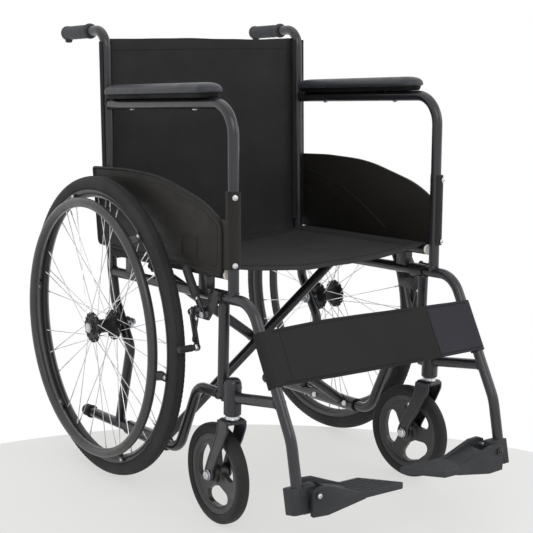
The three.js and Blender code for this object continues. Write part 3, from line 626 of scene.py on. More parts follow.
def side_frame(side, s):
    """The welded tubes of one side, and what is fixed to them."""
    body = f"{side}_frame"
    x = s * HALF_TRACK

    for node, path, radii in FRAME_TUBES:
        bar = Solid().add(tube(bend(in_plane(x, path), radii), TUBE))
        piece(f"{side}_{node}_tube", bar, [PAINT], body, [f"{side}_{node}"])

    rail = Solid().add(tube(bend(in_plane(x, RAIL_PATH), [55, 90]), TUBE))
    for y in (-40, -310):
        low, high = rail_z(y) + 7, seat_rail_z(y) - 4
        tall = high - low
        cradle = [(-9, 0), (9, 0), (9, tall), (5, tall - 5), (-5, tall - 5), (-9, tall)]
        rail.add(plate(rounded(cradle, 1.4), 0, 28), 0, moved((x, y + 14, low)) @ turned(radians(90)))
    piece(f"{side}_side_rail_tube", rail, [PAINT], body, [f"{side}_side_rail"])

    cup = [(0, 220), (14.8, 220), (16, 221.2), (16, 276), (15.4, 280), (13.6, 284), (10.5, 286.8), (6, 288),
           (0, 288)]
    housing = Solid().add(lathe(cup, 40, (x, CASTER_STEM_Y, 0), "Z"))
    housing.add(block((10, 24, 34), 1.5), 0, moved((x, -381, 255)))
    housing.add(lathe([(15.9, 268), (16.7, 269), (16.7, 271), (15.9, 272)], 40, (x, CASTER_STEM_Y, 0), "Z"))
    piece(f"{side}_caster_barrel", housing, [PAINT], body, [f"{side}_caster_housing"])

    beads = Solid()
    welds = ((-396, 441.5, 0, 1), (post_y(735) - TUBE - 0.5, 736.6, 1, -0.09),
             (-369, rail_z(-369) - TUBE, 0, 1), (12.5, 93.5, -0.25, 1), (34, rail_z(34), 1, -0.07),
             (-419, 255, 1, -0.19), (-541, 278.8, 1, -0.19), (-358, 248.4, 1, 0))
    for y, z, *direction in welds:
        beads.add(weld_bead((x, y, z), (0, *direction), TUBE))
    piece(f"{side}_welds", beads, [PAINT], body)

    back = Vector((0, cos(LOWER_TILT), -sin(LOWER_TILT)))
    cap = [(0, 0), (TUBE, 0), (TUBE, -22), (12.6, -22), (13.9, -21), (13.9, -18), (12.8, -16.6), (12.6, 2),
           (11.6, 4.4), (9, 5), (0, 5)]
    tip = Solid().add(lathe(cap, 32, axis="Z"), 0, facing((x, *LOWER_PATH[0]), back))
    piece(f"{side}_tip", tip, [TIP], body, [f"{side}_tip_cap"])
    hand_grip(side, s)
    arm_pad(side, s)
    guard(side, s)
    frame_screws(side, s)


def hand_grip(side, s):
    """A soft sleeve with a front collar, four finger ribs that are strongest below, and a hooked rear end."""
    start, end = Vector((s * HALF_TRACK, 134, 875.6)), Vector((s * HALF_TRACK, 242, 866.6))
    length = (end - start).length
    along_grip = (end - start).normalized()
    up = SIDEWAYS.cross(along_grip).normalized()
    collar_radius, grip_radius = 15.0, 12.7
    first_rib, last_rib, rib_pitch, hook_start = 20, 94, 18.5, 96
    loops = []
    stations = 96
    for i in range(stations + 1):
        t = i / stations * length
        radius = grip_radius
        if t < 6.5:
            radius = collar_radius - 0.5 * abs(t - 3.2) / 3.2
        elif t < 9.5:
            radius = collar_radius - (collar_radius - grip_radius) * (t - 6.5) / 3
        if t < 0.8:
            radius -= 0.8 - t
        rib = 0.0
        if first_rib < t < last_rib:
            rib = abs(sin((t - first_rib) / rib_pitch * pi)) ** 0.6
        if t > hook_start:
            radius += 1.2 * min(1, (t - hook_start) / 3)
        if t > length - 4:
            radius -= 4.6 * (1 - math.sqrt(max(0, 1 - ((t - length + 4) / 4) ** 2)))
        loop = []
        for k in range(32):
            a = 2 * pi * k / 32
            below = 0.5 - 0.5 * sin(a)
            r = radius + 0.5 + rib * (0.25 + 0.75 * below)
            loop.append(start + along_grip * t + (SIDEWAYS * cos(a) + up * sin(a)) * r)
        loops.append(loop)
    grip = Solid().add(rings(loops))
    place = start + along_grip * 99 - up * 7.5
    hook = rounded([(-8, -4.5), (8, -4.5), (8, 4.5), (-8, 4.5)], 3.6)
    grip.add(layers(hook, [(0, 0), (0, 6), (0.8, 9.4), (2, 11.4), (3.4, 12.2)]), 0, facing(place, -up))
    piece(f"{side}_handle_sleeve", grip, [GRIP], f"{side}_frame", [f"{side}_grip"], sharp=50)


def arm_pad(side, s):
    """Foam in vinyl on a black base, whose very dark colour is also painted shade on the downward-facing
    lower band. A seam runs above the base, and the crowned top bulges over it.
    """
    half_x, half_y, corner = 27, 189, 26
    sides = [(9, 0), (8, 0.4), (7, 1.4), (5.8, 3.4), (4.8, 6), (4.2, 8.2), (4.6, 8.8), (3.4, 8.9), (1.6, 9.3),
             (0.5, 10.4), (0, 12.4), (0.3, 15), (1.3, 18), (3.2, 20.8), (6, 23.2), (9.6, 25.0), (13.6, 26.2),
             (18, 26.8), (21, 27.0)]
    shaded_base_steps = 7
    loops = []
    for inward, height in sides:
        radius = max(2.6, corner - 0.8 * inward)
        x, y = half_x - inward, half_y - inward * (1 + 0.5 * max(0, height - 16) / 10)
        loop = rounded([(-x, -y), (x, -y), (x, y), (-x, y)], min(radius, x - 0.2), 0.131)
        crown = 0.9 if height > 14 else 0
        loops.append([Vector((px, py, height + crown * (1 - (py / half_y) ** 2))) for px, py in loop])
    pad = Solid().add(rings(loops))
    shaded_base_faces = shaded_base_steps * len(loops[0])
    # the base faces and the bottom take the very dark look, which paints shade on the pad's lower band
    pad.looks = [int(k < shaded_base_faces or k == len(pad.faces) - 2) for k in range(len(pad.faces))]
    y = -142
    pad.shift(moved((s * HALF_TRACK, y, armrest_z(y) + TUBE + 0.2)) @ turned(ARMREST_SLOPE))
    node = f"{side}_armrest_pad"
    made = piece(f"{side}_arm_cushion", pad, [VINYL, PAD_BASE_SHADE], f"{side}_frame", [node], sharp=60)


GUARD_CORNERS = [(99, 608), (-30, 620), (-165, 624), (-322, 596), (-380, 568), (-382, 469), (-230, 464),
                 (75, 452)]
GUARD_RADII = [7, 400, 520, 260, 36, 12, 500, 12]
GUARD_SCREWS = (493.8, 613.6)


def guard(side, s):
    """The moulded skirt guard: a thin panel, a raised rim, a ridge and a channel round the post."""
    x0 = HALF_TRACK + TUBE + 1
    outline = [(s * y, z) for y, z in rounded(GUARD_CORNERS, GUARD_RADII, 0.05)]
    mirror = Matrix(((0, 0, s, 0), (s, 0, 0, 0), (0, 1, 0, 0), (0, 0, 0, 1)))
    steps = [(1.2, x0 - 0.2), (0.3, x0 + 0.3), (0, x0 + 1.2), (0, x0 + 4.6), (0.5, x0 + 5.8), (1.5, x0 + 6.3),
             (3.2, x0 + 6.2), (4.6, x0 + 5.2), (5.4, x0 + 3.8), (6.2, x0 + 3)]
    panel = Solid().add(layers(outline, steps), 0, mirror)
    contour = rounded([(s * p[0], p[1]) for p in inset(anticlockwise(GUARD_CORNERS), 17)], 10, 0.2)
    line = [Vector((*p, x0 + 2.6)) for p in contour]
    panel.add(tube([*line, line[0]], 1.1, 8, 0.01), 0, mirror)
    web = rounded([(-394, 484), (-374, 484), (-374, 572), (-394, 572)], 2)
    panel.add(plate(web, x0 - 2.4, x0 + 2.6, 0.6), 0, flipped(s) @ ACROSS)
    plaque = rounded([(s * y, z) for y, z in ((-300, 487), (-243, 484), (-243, 525), (-300, 528))], 4)
    for by in (0, 5):
        ribbon = [Vector((*p, x0 + 3.0)) for p in inset(anticlockwise(plaque), by)]
        panel.add(tube([*ribbon, ribbon[0]], 0.9, 8, 0.01), 0, mirror)
    crease = bend([Vector((s * y, z, x0 + 0.4)) for y, z in ((75, 588), (-110, 555), (-235, 492))], [420])
    panel.add(tube(crease, 1.5, 10), 0, mirror)
    post = [Vector((s * HALF_TRACK, -396.6, 486)), Vector((s * HALF_TRACK, -392.1, 622))]
    front_turn, back_turn = radians(122), radians(-96)
    turns = (back_turn, front_turn) if s < 0 else (-front_turn, -back_turn)
    panel.add(sleeve(post, 14.4, 10.9, 30, *turns, Vector((s, 0, 0))))
    piece(f"{side}_guard_panel", panel, [GUARD], f"{side}_frame", [f"{side}_skirt_guard"], sharp=42)


def frame_screws(side, s):
    """The screws that show on a side frame: guard channel, armrest pad and back sling."""
    x = s * HALF_TRACK
    screws = Solid()
    for z in GUARD_SCREWS:
        y = -397 + (z - 494) * 0.033
        out = Vector((s * 0.42, -1, 0)).normalized()
        place = Vector((x, y, z)) + out * 14.2
        screws.add(washer(5, 0.8), 0, facing(place, out))
        screws.add(screw_head(4.2), 0, facing(place + out * 0.7, out))
    for y in (-35, -262):
        screws.add(screw_head(4.6), 0, facing((x, y, armrest_z(y) - TUBE + 0.2), (0, 0, -1)))
    for z in BACK_SCREWS:
        screws.add(screw_head(4), 0, facing((x, post_y(z) + 12.2, z), (0, 1, 0)))
    piece(f"{side}_frame_screws", screws, [ZINC], f"{side}_frame")


# ---- rear wheels ----


def rear_wheel(side, s):
    """The tyre, rim, hub, crossed spokes and handrim, and the bolt that they turn on."""
    body = f"{side}_wheel"
    centre = (s * WHEEL_PLANE, 0, WHEEL_RADIUS)
    half = [(273.9, 10.6), (276.5, 11.4), (277.2, 12.4), (279, 12.6), (284, 13.5), (289.5, 13.5),
            (293.5, 12.5), (296.4, 10.4), (298.2, 8.0), (298.6, 7.2), (297.4, 6.9), (297.4, 6.1),
            (299.0, 5.7), (299.5, 3.4), (298.5, 3.1), (298.5, 2.4), (299.8, 2.0), (WHEEL_RADIUS, 0)]
    tyre = Solid().add(lathe(mirrored(half), TREAD_BLOCKS, centre))
    rib = block((2.4, 4.2, 1.6), 0.6, 0.3)
    for angle, _ in ring_points(TREAD_BLOCKS):
        for edge in (-1, 1):
            shoulder = moved((edge * 9.9, 0, 296.2)) @ turned(edge * 0.75, "Y")
            tyre.add(rib, 0, moved(centre) @ turned(angle) @ shoulder)
    piece(f"{side}_tyre", tyre, [TYRE], body, [f"{side}_wheel_tyre"])

    half = [(273.6, 11), (272.4, 11.4), (266.6, 11.2), (264.6, 10), (259.6, 5), (258.2, 3), (257.8, 0)]
    rim = Solid().add(lathe(mirrored(half), 144, centre))
    piece(f"{side}_rim", rim, [RIM_PAINT], body, [f"{side}_wheel_rim"])

    half = [(6.8, 28.5), (13, 28.5), (15, 27), (15, 25.8), (26.8, 25.6), (28, 24.6), (28, 22.4), (26.6, 21.4),
            (19, 19.4), (15.2, 14), (13.8, 6), (13.6, 0)]
    hub = Solid().add(lathe(mirrored(half), 48))
    button = lathe([(0, 0), (4, 0), (4.6, 1), (4.6, 4), (4, 5), (0, 5)], 12)
    flange_x, flange_radius, spoke_end, sweep = 23, 24, 257.5, 0.62
    for x, shift in ((-flange_x, 0), (flange_x, 0.5)):
        for i in range(SPOKES_PER_FLANGE):
            angle = (i + shift) / SPOKES_PER_FLANGE * 2 * pi
            way = 1 if i % 2 else -1
            y, z = cos(angle), sin(angle)
            far = angle + way * sweep
            inner = Vector((x + way * 2.2, flange_radius * y, flange_radius * z))
            outer = Vector((x * 0.15, spoke_end * cos(far), spoke_end * sin(far)))
            hub.add(tube([inner, outer], 0.85, 8, 0.3), 1)
            hub.add(tube([outer.lerp(inner, 0.052), outer], 1.6, 10, 0.4), 1)
            hub.add(screw_head(2.6), 0, facing(inner + SIDEWAYS * (way * 0.4), (way, 0, 0)))
            hub.add(button, 0, moved((x - 2.5, 26.2 * y, 26.2 * z)))
    hub.shift(moved(centre) @ flipped(s))
    piece(f"{side}_hub_and_spokes", hub, [HUB, SPOKE], body, [f"{side}_wheel_spoked_hub"])

    middle = Vector((s * HANDRIM_PLANE, 0, WHEEL_RADIUS))
    outwards = [out for _, out in ring_points(144)]
    loops = [circle(middle + out * HANDRIM_RADIUS, out, SIDEWAYS, HANDRIM_TUBE, 20) for out in outwards]
    ring = Solid().add(rings(loops, closed=True))
    for angle, _ in ring_points(HANDRIM_TABS):
        turn = moved((0, 0, WHEEL_RADIUS)) @ turned(angle + FIRST_TAB)
        low, high = WHEEL_PLANE + 11.6, HANDRIM_PLANE - 4
        strap = [(low, 256), (low, 272), (low + 3, 272), (low + 5, 262.5), (high, 258.5), (high, 250),
                 (low + 3, 251.5)]
        ring.add(plate(rounded([(s * a, b) for a, b in strap], 1.2), -8, 8, 1), 0, turn @ UPRIGHT)
        ring.add(screw_head(4.4), 1, turn @ facing((s * (low + 3), 0, 266.6), (s, 0, 0)))
        ring.add(screw_head(3.4), 1, turn @ facing((s * (HANDRIM_PLANE - 9), 0, 249.8), (0, 0, -1)))
        ring.add(weld_bead((s * (high - 1.5), 0, 254), (s, 0, 0), 6, 1.4), 0, turn)
    piece(f"{side}_push_ring", ring, [HANDRIM, ZINC], body, [f"{side}_handrim"])

    axle_start = 209
    bolt = Solid().add(tube([(s * axle_start, 0, WHEEL_RADIUS), (s * 313, 0, WHEEL_RADIUS)], 6, 20))
    for k in range(5):
        thread = (s * (axle_start + 0.8 + k * 0.9), 0, WHEEL_RADIUS)
        bolt.add(weld_bead(thread, (-s, 0, 0), 5.7, 0.42))
    cap = lathe([(0, 0), (8.2, 0), (8.2, 1.4), (6.4, 2.6), (0, 3)], 24, axis="Z")
    for shape, x, way in ((nut(11, 7.5), 221.5, -s), (washer(13, 2.2), 224, -s), (washer(11.5, 2.2), 246, s),
                          (nut(10.6, 5), 310.6, s), (cap, 315, s)):
        bolt.add(shape, 0, facing((s * x, 0, WHEEL_RADIUS), (way, 0, 0)))
    piece(f"{side}_axle_bolt", bolt, [ZINC], body_of_node[f"{side}_wheel_axle"], [f"{side}_wheel_axle"])


# ---- casters, drawn on the stem's axis and then turned to their swivel ----


def carved(name, solid, cutters):
    """Cuts closed shapes out of a solid, and returns the result as a shape in millimetres."""
    meshes = []
    for k, shape in enumerate([solid, *cutters]):
        mesh = bpy.data.meshes.new(f"{name}_{k}")
        mesh.from_pydata([tuple(p) for p in shape[0]], [], shape[1])
        bm = bmesh.new()
        bm.from_mesh(mesh)
        bmesh.ops.remove_doubles(bm, verts=bm.verts, dist=1e-4)
        bmesh.ops.recalc_face_normals(bm, faces=bm.faces)
        bm.to_mesh(mesh)
        bm.free()
        made = bpy.data.objects.new(mesh.name, mesh)
        bpy.context.scene.collection.objects.link(made)
        meshes.append(made)
    for cutter in meshes[1:]:
        cut = meshes[0].modifiers.new("cut", "BOOLEAN")
        cut.operation = "DIFFERENCE"
        cut.solver = "EXACT"
        cut.object = cutter
    bpy.context.view_layer.update()
    result = meshes[0].evaluated_get(bpy.context.evaluated_depsgraph_get()).to_mesh()
    shape = ([v.co.copy() for v in result.vertices], [tuple(p.vertices) for p in result.polygons])
    for made in meshes:
        bpy.data.objects.remove(made)
    return shape


def core_shape(first_window):
    """The caster's moulded centre: a hub, a web with three rounded windows, and a rim."""
    half = [(5.4, 15), (14, 15), (17, 13.6), (17.6, 6), (20, 4.4), (24, 4.2), (60, 4.6), (63.4, 5.4),
            (65, 7.4), (67, 8.6), (75.2, 8.8), (76, 8)]
    disc = lathe(half + [(r, -t) for r, t in half[::-1]], 96)
    cutters = []
    for k in range(3):
        middle = 2 * pi * k / 3 + radians(first_window)
        corners = []
        for reach, turns in ((61.5, (-0.84, -0.42, 0, 0.42, 0.84)), (23, (0.36, 0, -0.36))):
            corners += [(reach * cos(middle + a), reach * sin(middle + a)) for a in turns]
        outline = rounded(corners, [12, 20, 20, 20, 12, 5, 8, 5], 0.25)
        points, faces = rings([[Vector((*p, h)) for p in outline] for h in (-12, 12)])
        cutters.append(([ACROSS @ p for p in points], faces))
    return carved("core", disc, cutters)


def caster(side, s):
    """The stem with its crown and two arms, and the wheel between them."""
    home = moved((s * HALF_TRACK, CASTER_STEM_Y, 0)) @ turned(SWIVEL[side], "Z")
    hub = home @ moved((0, CASTER_TRAIL, CASTER_RADIUS))
    fork_body, wheel_body = f"{side}_caster_fork", f"{side}_caster_wheel"

    fork = Solid()
    fork.add(tube([(0, 0, 205), (0, 0, 268)], 8, 24), 0, home)
    collar = [(0, 210), (12.8, 210), (13.4, 211), (13.4, 213.4), (12.6, 214.4), (12.4, 218.3), (0, 218.3)]
    fork.add(lathe(collar, 32, axis="Z"), 1, home)
    crown = [(-15, -17), (15, -17), (21.6, -12), (21.6, 14), (15, 19), (-15, 19), (-21.6, 14), (-21.6, -12)]
    crown_steps = [(3, 204.5), (0.6, 205.4), (0, 207), (0.3, 209.4), (2.2, 211.4), (8, 212.4)]
    fork.add(layers(rounded(crown, 4), crown_steps), 0, home)
    arm = [(-15, 209), (-16, 196), (-4, 168), (13, 140), (31, 106), (31.5, 92), (40, 81), (52, 81), (60, 92),
           (59, 102), (48, 128), (34, 156), (22, 182), (18, 209)]
    radii = [2, 20, 60, 60, 20, 8, 10, 10, 8, 20, 60, 60, 40, 2]
    arm_line = rounded(arm, radii, 0.2)
    lip = [(0, 17.4), (0, 20.4), (0.5, 21.3), (1.6, 21.8), (3.4, 21.8), (4.4, 21.3), (5, 20.6)]
    for end in (-1, 1):
        fork.add(layers(arm_line, lip), 0, home @ flipped(end) @ ACROSS)
    piece(f"{side}_fork", fork, [PAINT, ZINC], fork_body, [f"{side}_caster_fork"])

    bolt = Solid().add(tube([(-24, 0, 0), (26.5, 0, 0)], 5, 20), 0, hub)
    for end in (-1, 1):
        bolt.add(nut(9, 5.4), 0, hub @ facing((end * 22, 0, 0), (end, 0, 0)))
        bolt.add(washer(9.6, 1.2), 0, hub @ facing((end * 21.8, 0, 0), (end, 0, 0)))
        bolt.add(tube([(end * 17.3, 0, 0), (end * 15.2, 0, 0)], 8, 20), 0, hub)
    piece(f"{side}_caster_bolt", bolt, [ZINC], body_of_node[f"{side}_caster_axle"], [f"{side}_caster_axle"])

    disc = Solid().add(core_shape(FIRST_WINDOW[side]), 0, hub)
    piece(f"{side}_caster_disc", disc, [CORE], wheel_body, [f"{side}_caster_core"])

    half = [(76.1, 9.6), (77.4, 10.4), (80, 10.9), (84.5, 11.7), (88.6, 11.5), (91.6, 10), (93.4, 7.4),
            (94.2, 4), (CASTER_RADIUS, 0)]
    tread = Solid().add(lathe(mirrored(half), 96), 0, hub)
    piece(f"{side}_caster_band", tread, [CASTER_RUBBER], wheel_body, [f"{side}_caster_tyre"])


# ---- wheel lock ----


def wheel_lock(side, s):
    """The bracket under the side rail, the lever with its handle, and the arm with the knurled shoe."""
    flip = flipped(s) @ ACROSS
    out = (s, 0, 0)

    def pin(x0, x1, place, radius):
        return tube([(s * x0, *place), (s * x1, *place)], radius, 20, 0.5)

    def strip(start, end, width, low, high, ease):
        return plate(slot_outline(start, end, width), low, high, ease)

    bracket = Solid()
    z = rail_z(-355)
    corners = [(-376, z + 14), (-342, z + 14), (-330, 404), (-288, 399), (-284, 382), (-300, 379),
               (-338, 381), (-364, 414)]
    bracket.add(plate(rounded(corners, 5), 245.6, 248.8, 0.6), 0, flip)
    bracket.add(sleeve([(s * HALF_TRACK, y, rail_z(y)) for y in (-374, -338)], 13, 10.2))
    for y in (-368, -344):
        bracket.add(nut(5.4, 4), 0, facing((s * 249, y, z + 10), out))
    for place in (LEVER_PIVOT, SHOE_PIVOT):
        bracket.add(pin(247, 253.4, place, 6), 1)
        bracket.add(pin(253, 260, place, 3.6), 1)
        bracket.add(nut(6.4, 3), 1, facing((s * 258.4, *place), out))
    piece(f"{side}_lock_bracket", bracket, [LOCK_PAINT, ZINC], f"{side}_frame", [f"{side}_brake_bracket"])

    lever = Solid()
    lever.add(strip(LEVER_PIVOT, LEVER_KNOB, 14, LOCK_PLANE, LOCK_PLANE + 4, 0.6), 0, flip)
    handle = slot_outline((-306, 425.5), (-277, 464), 17)
    steps = [(3, 251.6), (1, 252.4), (0, 254.2), (0, 260.2), (1, 262), (3.2, 263.2), (6, 263.6)]
    lever.add(layers(handle, steps), 1, flip)
    lever.add(strip((-326, 400), (-300, 396), 9, LOCK_PLANE + 4.2, LOCK_PLANE + 6.4, 0.5), 0, flip)
    lever.add(screw_head(3.6), 2, facing((s * 258, -312, 418.5), out))
    piece(f"{side}_lock_handle", lever, [PAINT, LEVER, ZINC], f"{side}_brake_lever", [f"{side}_brake_lever"])

    shoe = Solid()
    shoe.add(strip(SHOE_PIVOT, SHOE_ROD, 14, LOCK_PLANE, LOCK_PLANE + 4, 0.6), 0, flip)
    shoe.add(strip((-318, 382), (-308, 340), 9, LOCK_PLANE + 5, LOCK_PLANE + 7.4, 0.5), 0, flip)
    shoe.add(screw_head(3.8), 2, facing((s * 261.2, -318, 382), out))
    shoe.add(pin(252, 296, SHOE_ROD, 5.6), 1)
    for k in range(13):
        shoe.add(weld_bead((s * (268 + 2.2 * k), *SHOE_ROD), out, 5.6, 0.8), 1)
    shoe.add(nut(7.2, 5), 2, facing((s * 257.8, *SHOE_ROD), out))
    piece(f"{side}_lock_shoe", shoe, [PAINT, LEVER, ZINC], f"{side}_brake_shoe", [f"{side}_brake_shoe"])


# ---- footplates ----


def foot_rest(side, s):
    """The clamp on the leg tube, and the plate with its two gussets, which flips up on the clamp's pin."""
    x = s * HALF_TRACK
    lean = math.atan2(26, 106)
    clamp = Solid()
    outline = rounded([(-17, -11), (-12, -16), (14, -16), (14, 16), (-12, 16), (-17, 11)], 3)
    clamp_height = 46
    turn = moved((x, FOOT_LEG_Y + clamp_height / 2 * math.tan(lean) - 8, 101)) @ turned(-lean)
    clamp.add(plate(outline, 0, clamp_height, 1.6), 0, turn @ flipped(-s))
    clamp.add(block((26, 20, 26), 4, 1.5), 0, moved((s * 216, FOOT_LEG_Y, FOOT_PIVOT_Z)))
    clamp.add(block((24, 18, 36), 3, 1.5), 0, moved((s * 216, FOOT_LEG_Y - 2, 118)))
    # A thin block in dark rim paint stands for the clamp's slit: its darkness is painted shade in the gap.
    shaded_slit = block((1.6, 6, clamp_height), 0.5, 0.3)
    clamp.add(shaded_slit, 2, turn @ moved((s * 1, -13.6, clamp_height / 2)))

    def on_pin(forward):
        return s * FOOT_PIVOT_X, FOOT_LEG_Y - forward, FOOT_PIVOT_Z

    clamp.add(tube([on_pin(30), on_pin(-28)], 4, 20), 1)
    clamp.add(washer(7.4, 1.4), 2, facing(on_pin(29.4), (0, -1, 0)))
    pin_look = 1 if s < 0 else 2
    clamp.add(screw_head(4.6), pin_look, facing(on_pin(30.6), (0, -1, 0)))
    piece(f"{side}_foot_clamp", clamp, [FOOT, ZINC, RIM_PAINT], f"{side}_frame", [f"{side}_footplate_clamp"])

    front, rear = FOOT_LEG_Y - 28, FOOT_LEG_Y + 36
    reach_front, reach_rear = (134, 192) if s > 0 else (192, 134)

    def inner(reach):
        return s * (FOOT_PIVOT_X - reach)

    corners = [(inner(13), front), (inner(reach_front), front), (inner(reach_rear), rear), (inner(13), rear)]
    step = Solid().add(plate(rounded(corners, 3.5), 111, 123, 1.8))
    tread_top, tread_pitch = 122.9, 9.6
    for k in range(6):
        y = front + 8 + k * tread_pitch
        share = (y - front) / (rear - front)
        reach = reach_front + (reach_rear - reach_front) * share - 7
        step.add(tube([(inner(46), y, tread_top), (inner(reach), y, tread_top)], 1.3, 8, 0.5))
    rib_line = [(-11, 99), (22, 97), (104, 110), (104, 121), (84, 126), (26, 148.5), (4, 150), (-8, 146),
                (-11, 138)]
    rib = rounded([(inner(reach), z) for reach, z in rib_line], 2)
    for y0, y1 in ((front + 0.4, front + 9), (rear - 12, rear - 3)):
        step.add(plate(rib, y0, y1, 1.2), 0, UPRIGHT)
    floor_line = [(26, 126), (84, 118), (90, 122), (30, 140)]
    web = rounded([(inner(reach), z) for reach, z in floor_line], 1.5)
    step.add(plate(web, front + 7, rear - 10, 0.8), 0, UPRIGHT)
    step.add(block((6, 58, 30), 1, 1), 0, moved((inner(27), FOOT_LEG_Y + 4, 116)))
    piece(f"{side}_foot_step", step, [FOOT], f"{side}_footplate", [f"{side}_footplate"])


# ---- cross brace and seat rails ----


def brace(name, s, offset):
    """s is the side of the lower sleeve. The seat rail is on the other side."""
    shift = sin(math.atan(RAIL_SLOPE))
    upper = 2 * PIVOT_Z - LOWER_HINGE_Z
    ends = []
    x = s * HALF_TRACK
    for end_x, z in ((x, LOWER_HINGE_Z), (-x, upper)):
        ends.append(Vector((end_x, PIVOT_Y + (z - PIVOT_Z) * shift + offset, z - offset * RAIL_SLOPE)))
    bar = Solid().add(tube(ends, TUBE))
    hinge = [(x, y, LOWER_HINGE_Z + (PIVOT_Y - y) * RAIL_SLOPE) for y in (SLEEVE_FRONT, SLEEVE_REAR)]
    bar.add(sleeve(hinge, 14.5, 10.9, 32))
    for end in hinge:
        bar.add(weld_bead(end, (0, 1, -RAIL_SLOPE), 13, 1.2))
    bar.add(tube([(-x, y, seat_rail_z(y)) for y in (SEAT_RAIL_REAR, SEAT_RAIL_FRONT)], TUBE))
    line = (ends[1] - ends[0]).normalized()
    bar.add(weld_bead(ends[0] + line * 15.5, line, TUBE, 2))
    bar.add(weld_bead(ends[1] - line * 11, line, TUBE, 2))
    for y, z in ((SLEEVE_FRONT + 22, LOWER_HINGE_Z + 4), (SLEEVE_REAR - 22, LOWER_HINGE_Z - 5)):
        bar.add(nut(6, 4.4), 1, facing((x - s * 14.4, y, z), (-s, 0, 0.2)))
    piece(f"{name}_bar", bar, [PAINT, ZINC], name, [name])


def brace_bolt():
    """The bolt that both tubes turn on, with a nut and a washer at each end."""
    axis = Vector((0, 1, -RAIL_SLOPE)).normalized()
    middle = Vector((0, PIVOT_Y, PIVOT_Z))
    reach = BRACE_OFFSET + TUBE + 0.6
    bolt = Solid().add(tube([middle - axis * reach, middle + axis * (reach + 8)], 4, 20))
    for way, height in ((-axis, 4.8), (axis, 5.4)):
        bolt.add(washer(9.4, 1.4), 0, facing(middle + way * reach, way))
        bolt.add(nut(8, height), 0, facing(middle + way * (reach + 1.2), way))
    piece("brace_bolt", bolt, [ZINC], body_of_node["brace_pivot_bolt"], ["brace_pivot_bolt"])


def rail_plug(side, s, place):
    """The white cap in one end of a seat rail."""
    rear = place == "rear"
    y = SEAT_RAIL_REAR if rear else SEAT_RAIL_FRONT
    out = Vector((0, 1, -RAIL_SLOPE)).normalized() * (1 if rear else -1)
    node = f"{side}_seat_rail_{place}_plug"
    face = [(0, -11), (7.6, -11), (7.6, 0.3), (9.8, 0.3), (10.2, 1), (10.1, 3), (9, 4.2), (6.4, 4.6),
            (5.8, 3.6), (0, 3.4)]
    cap = Solid().add(lathe(face, 32, axis="Z"), 0, facing((s * HALF_TRACK, y, seat_rail_z(y)), out))
    piece(f"{node}_cap", cap, [WHITE], body_of_node[node], [node])


# ---- cloth ----


def cloth(rows, thick, uvs):
    """A closed sheet round a grid of points. thick and uvs give its thickness and its UV at (row, column)."""
    count_r, count_c = len(rows), len(rows[0])
    front, back = [], []
    for i in range(count_r):
        for j in range(count_c):
            down = rows[min(i + 1, count_r - 1)][j] - rows[max(i - 1, 0)][j]
            on = rows[i][min(j + 1, count_c - 1)] - rows[i][max(j - 1, 0)]
            out = down.cross(on).normalized() * (thick(i, j) / 2)
            front.append(rows[i][j] + out)
            back.append(rows[i][j] - out)
    total = count_r * count_c
    faces = []
    for i in range(count_r - 1):
        for j in range(count_c - 1):
            a = i * count_c + j
            quad = (a, a + 1, a + 1 + count_c, a + count_c)
            faces += [quad, tuple(total + k for k in quad[::-1])]
    edge = list(range(count_c))
    edge += [i * count_c + count_c - 1 for i in range(1, count_r)]
    edge += [(count_r - 1) * count_c + j for j in range(count_c - 2, -1, -1)]
    edge += [i * count_c for i in range(count_r - 2, 0, -1)]
    for k, a in enumerate(edge):
        b = edge[(k + 1) % len(edge)]
        faces.append((a, b, total + b, total + a))
    flat = [uvs(i, j) for i in range(count_r) for j in range(count_c)]
    return front + back, faces, flat * 2


def stitch_run(solid, line, out, look, pitch=5.2, length=3.6):
    """A row of raised stitches along a line of points. out gives the side that they stand on."""
    travelled, due = 0.0, 0.0
    up = out.normalized() * 0.25
    for a, b in zip(line, line[1:]):
        span = (b - a).length
        direction = (b - a).normalized()
        while due < travelled + span - length:
            start = a + direction * (due - travelled)
            stitch = [start, start + direction * (length / 2) + up, start + direction * length]
            solid.add(tube(stitch, 0.55, 6, 0.3), look)
            due += pitch
        travelled += span


def ripple(x, y, size, seed):
    return noise.noise(Vector((x / size, y / size, seed)))


def ease(value, low, high):
    t = min(1, max(0, (value - low) / (high - low)))
    return t * t * (3 - 2 * t)


WRAP_LOW = 470  # the back sling's wraps end here, and its middle hangs lower
BACK_LOW, BACK_HIGH = 421, 861


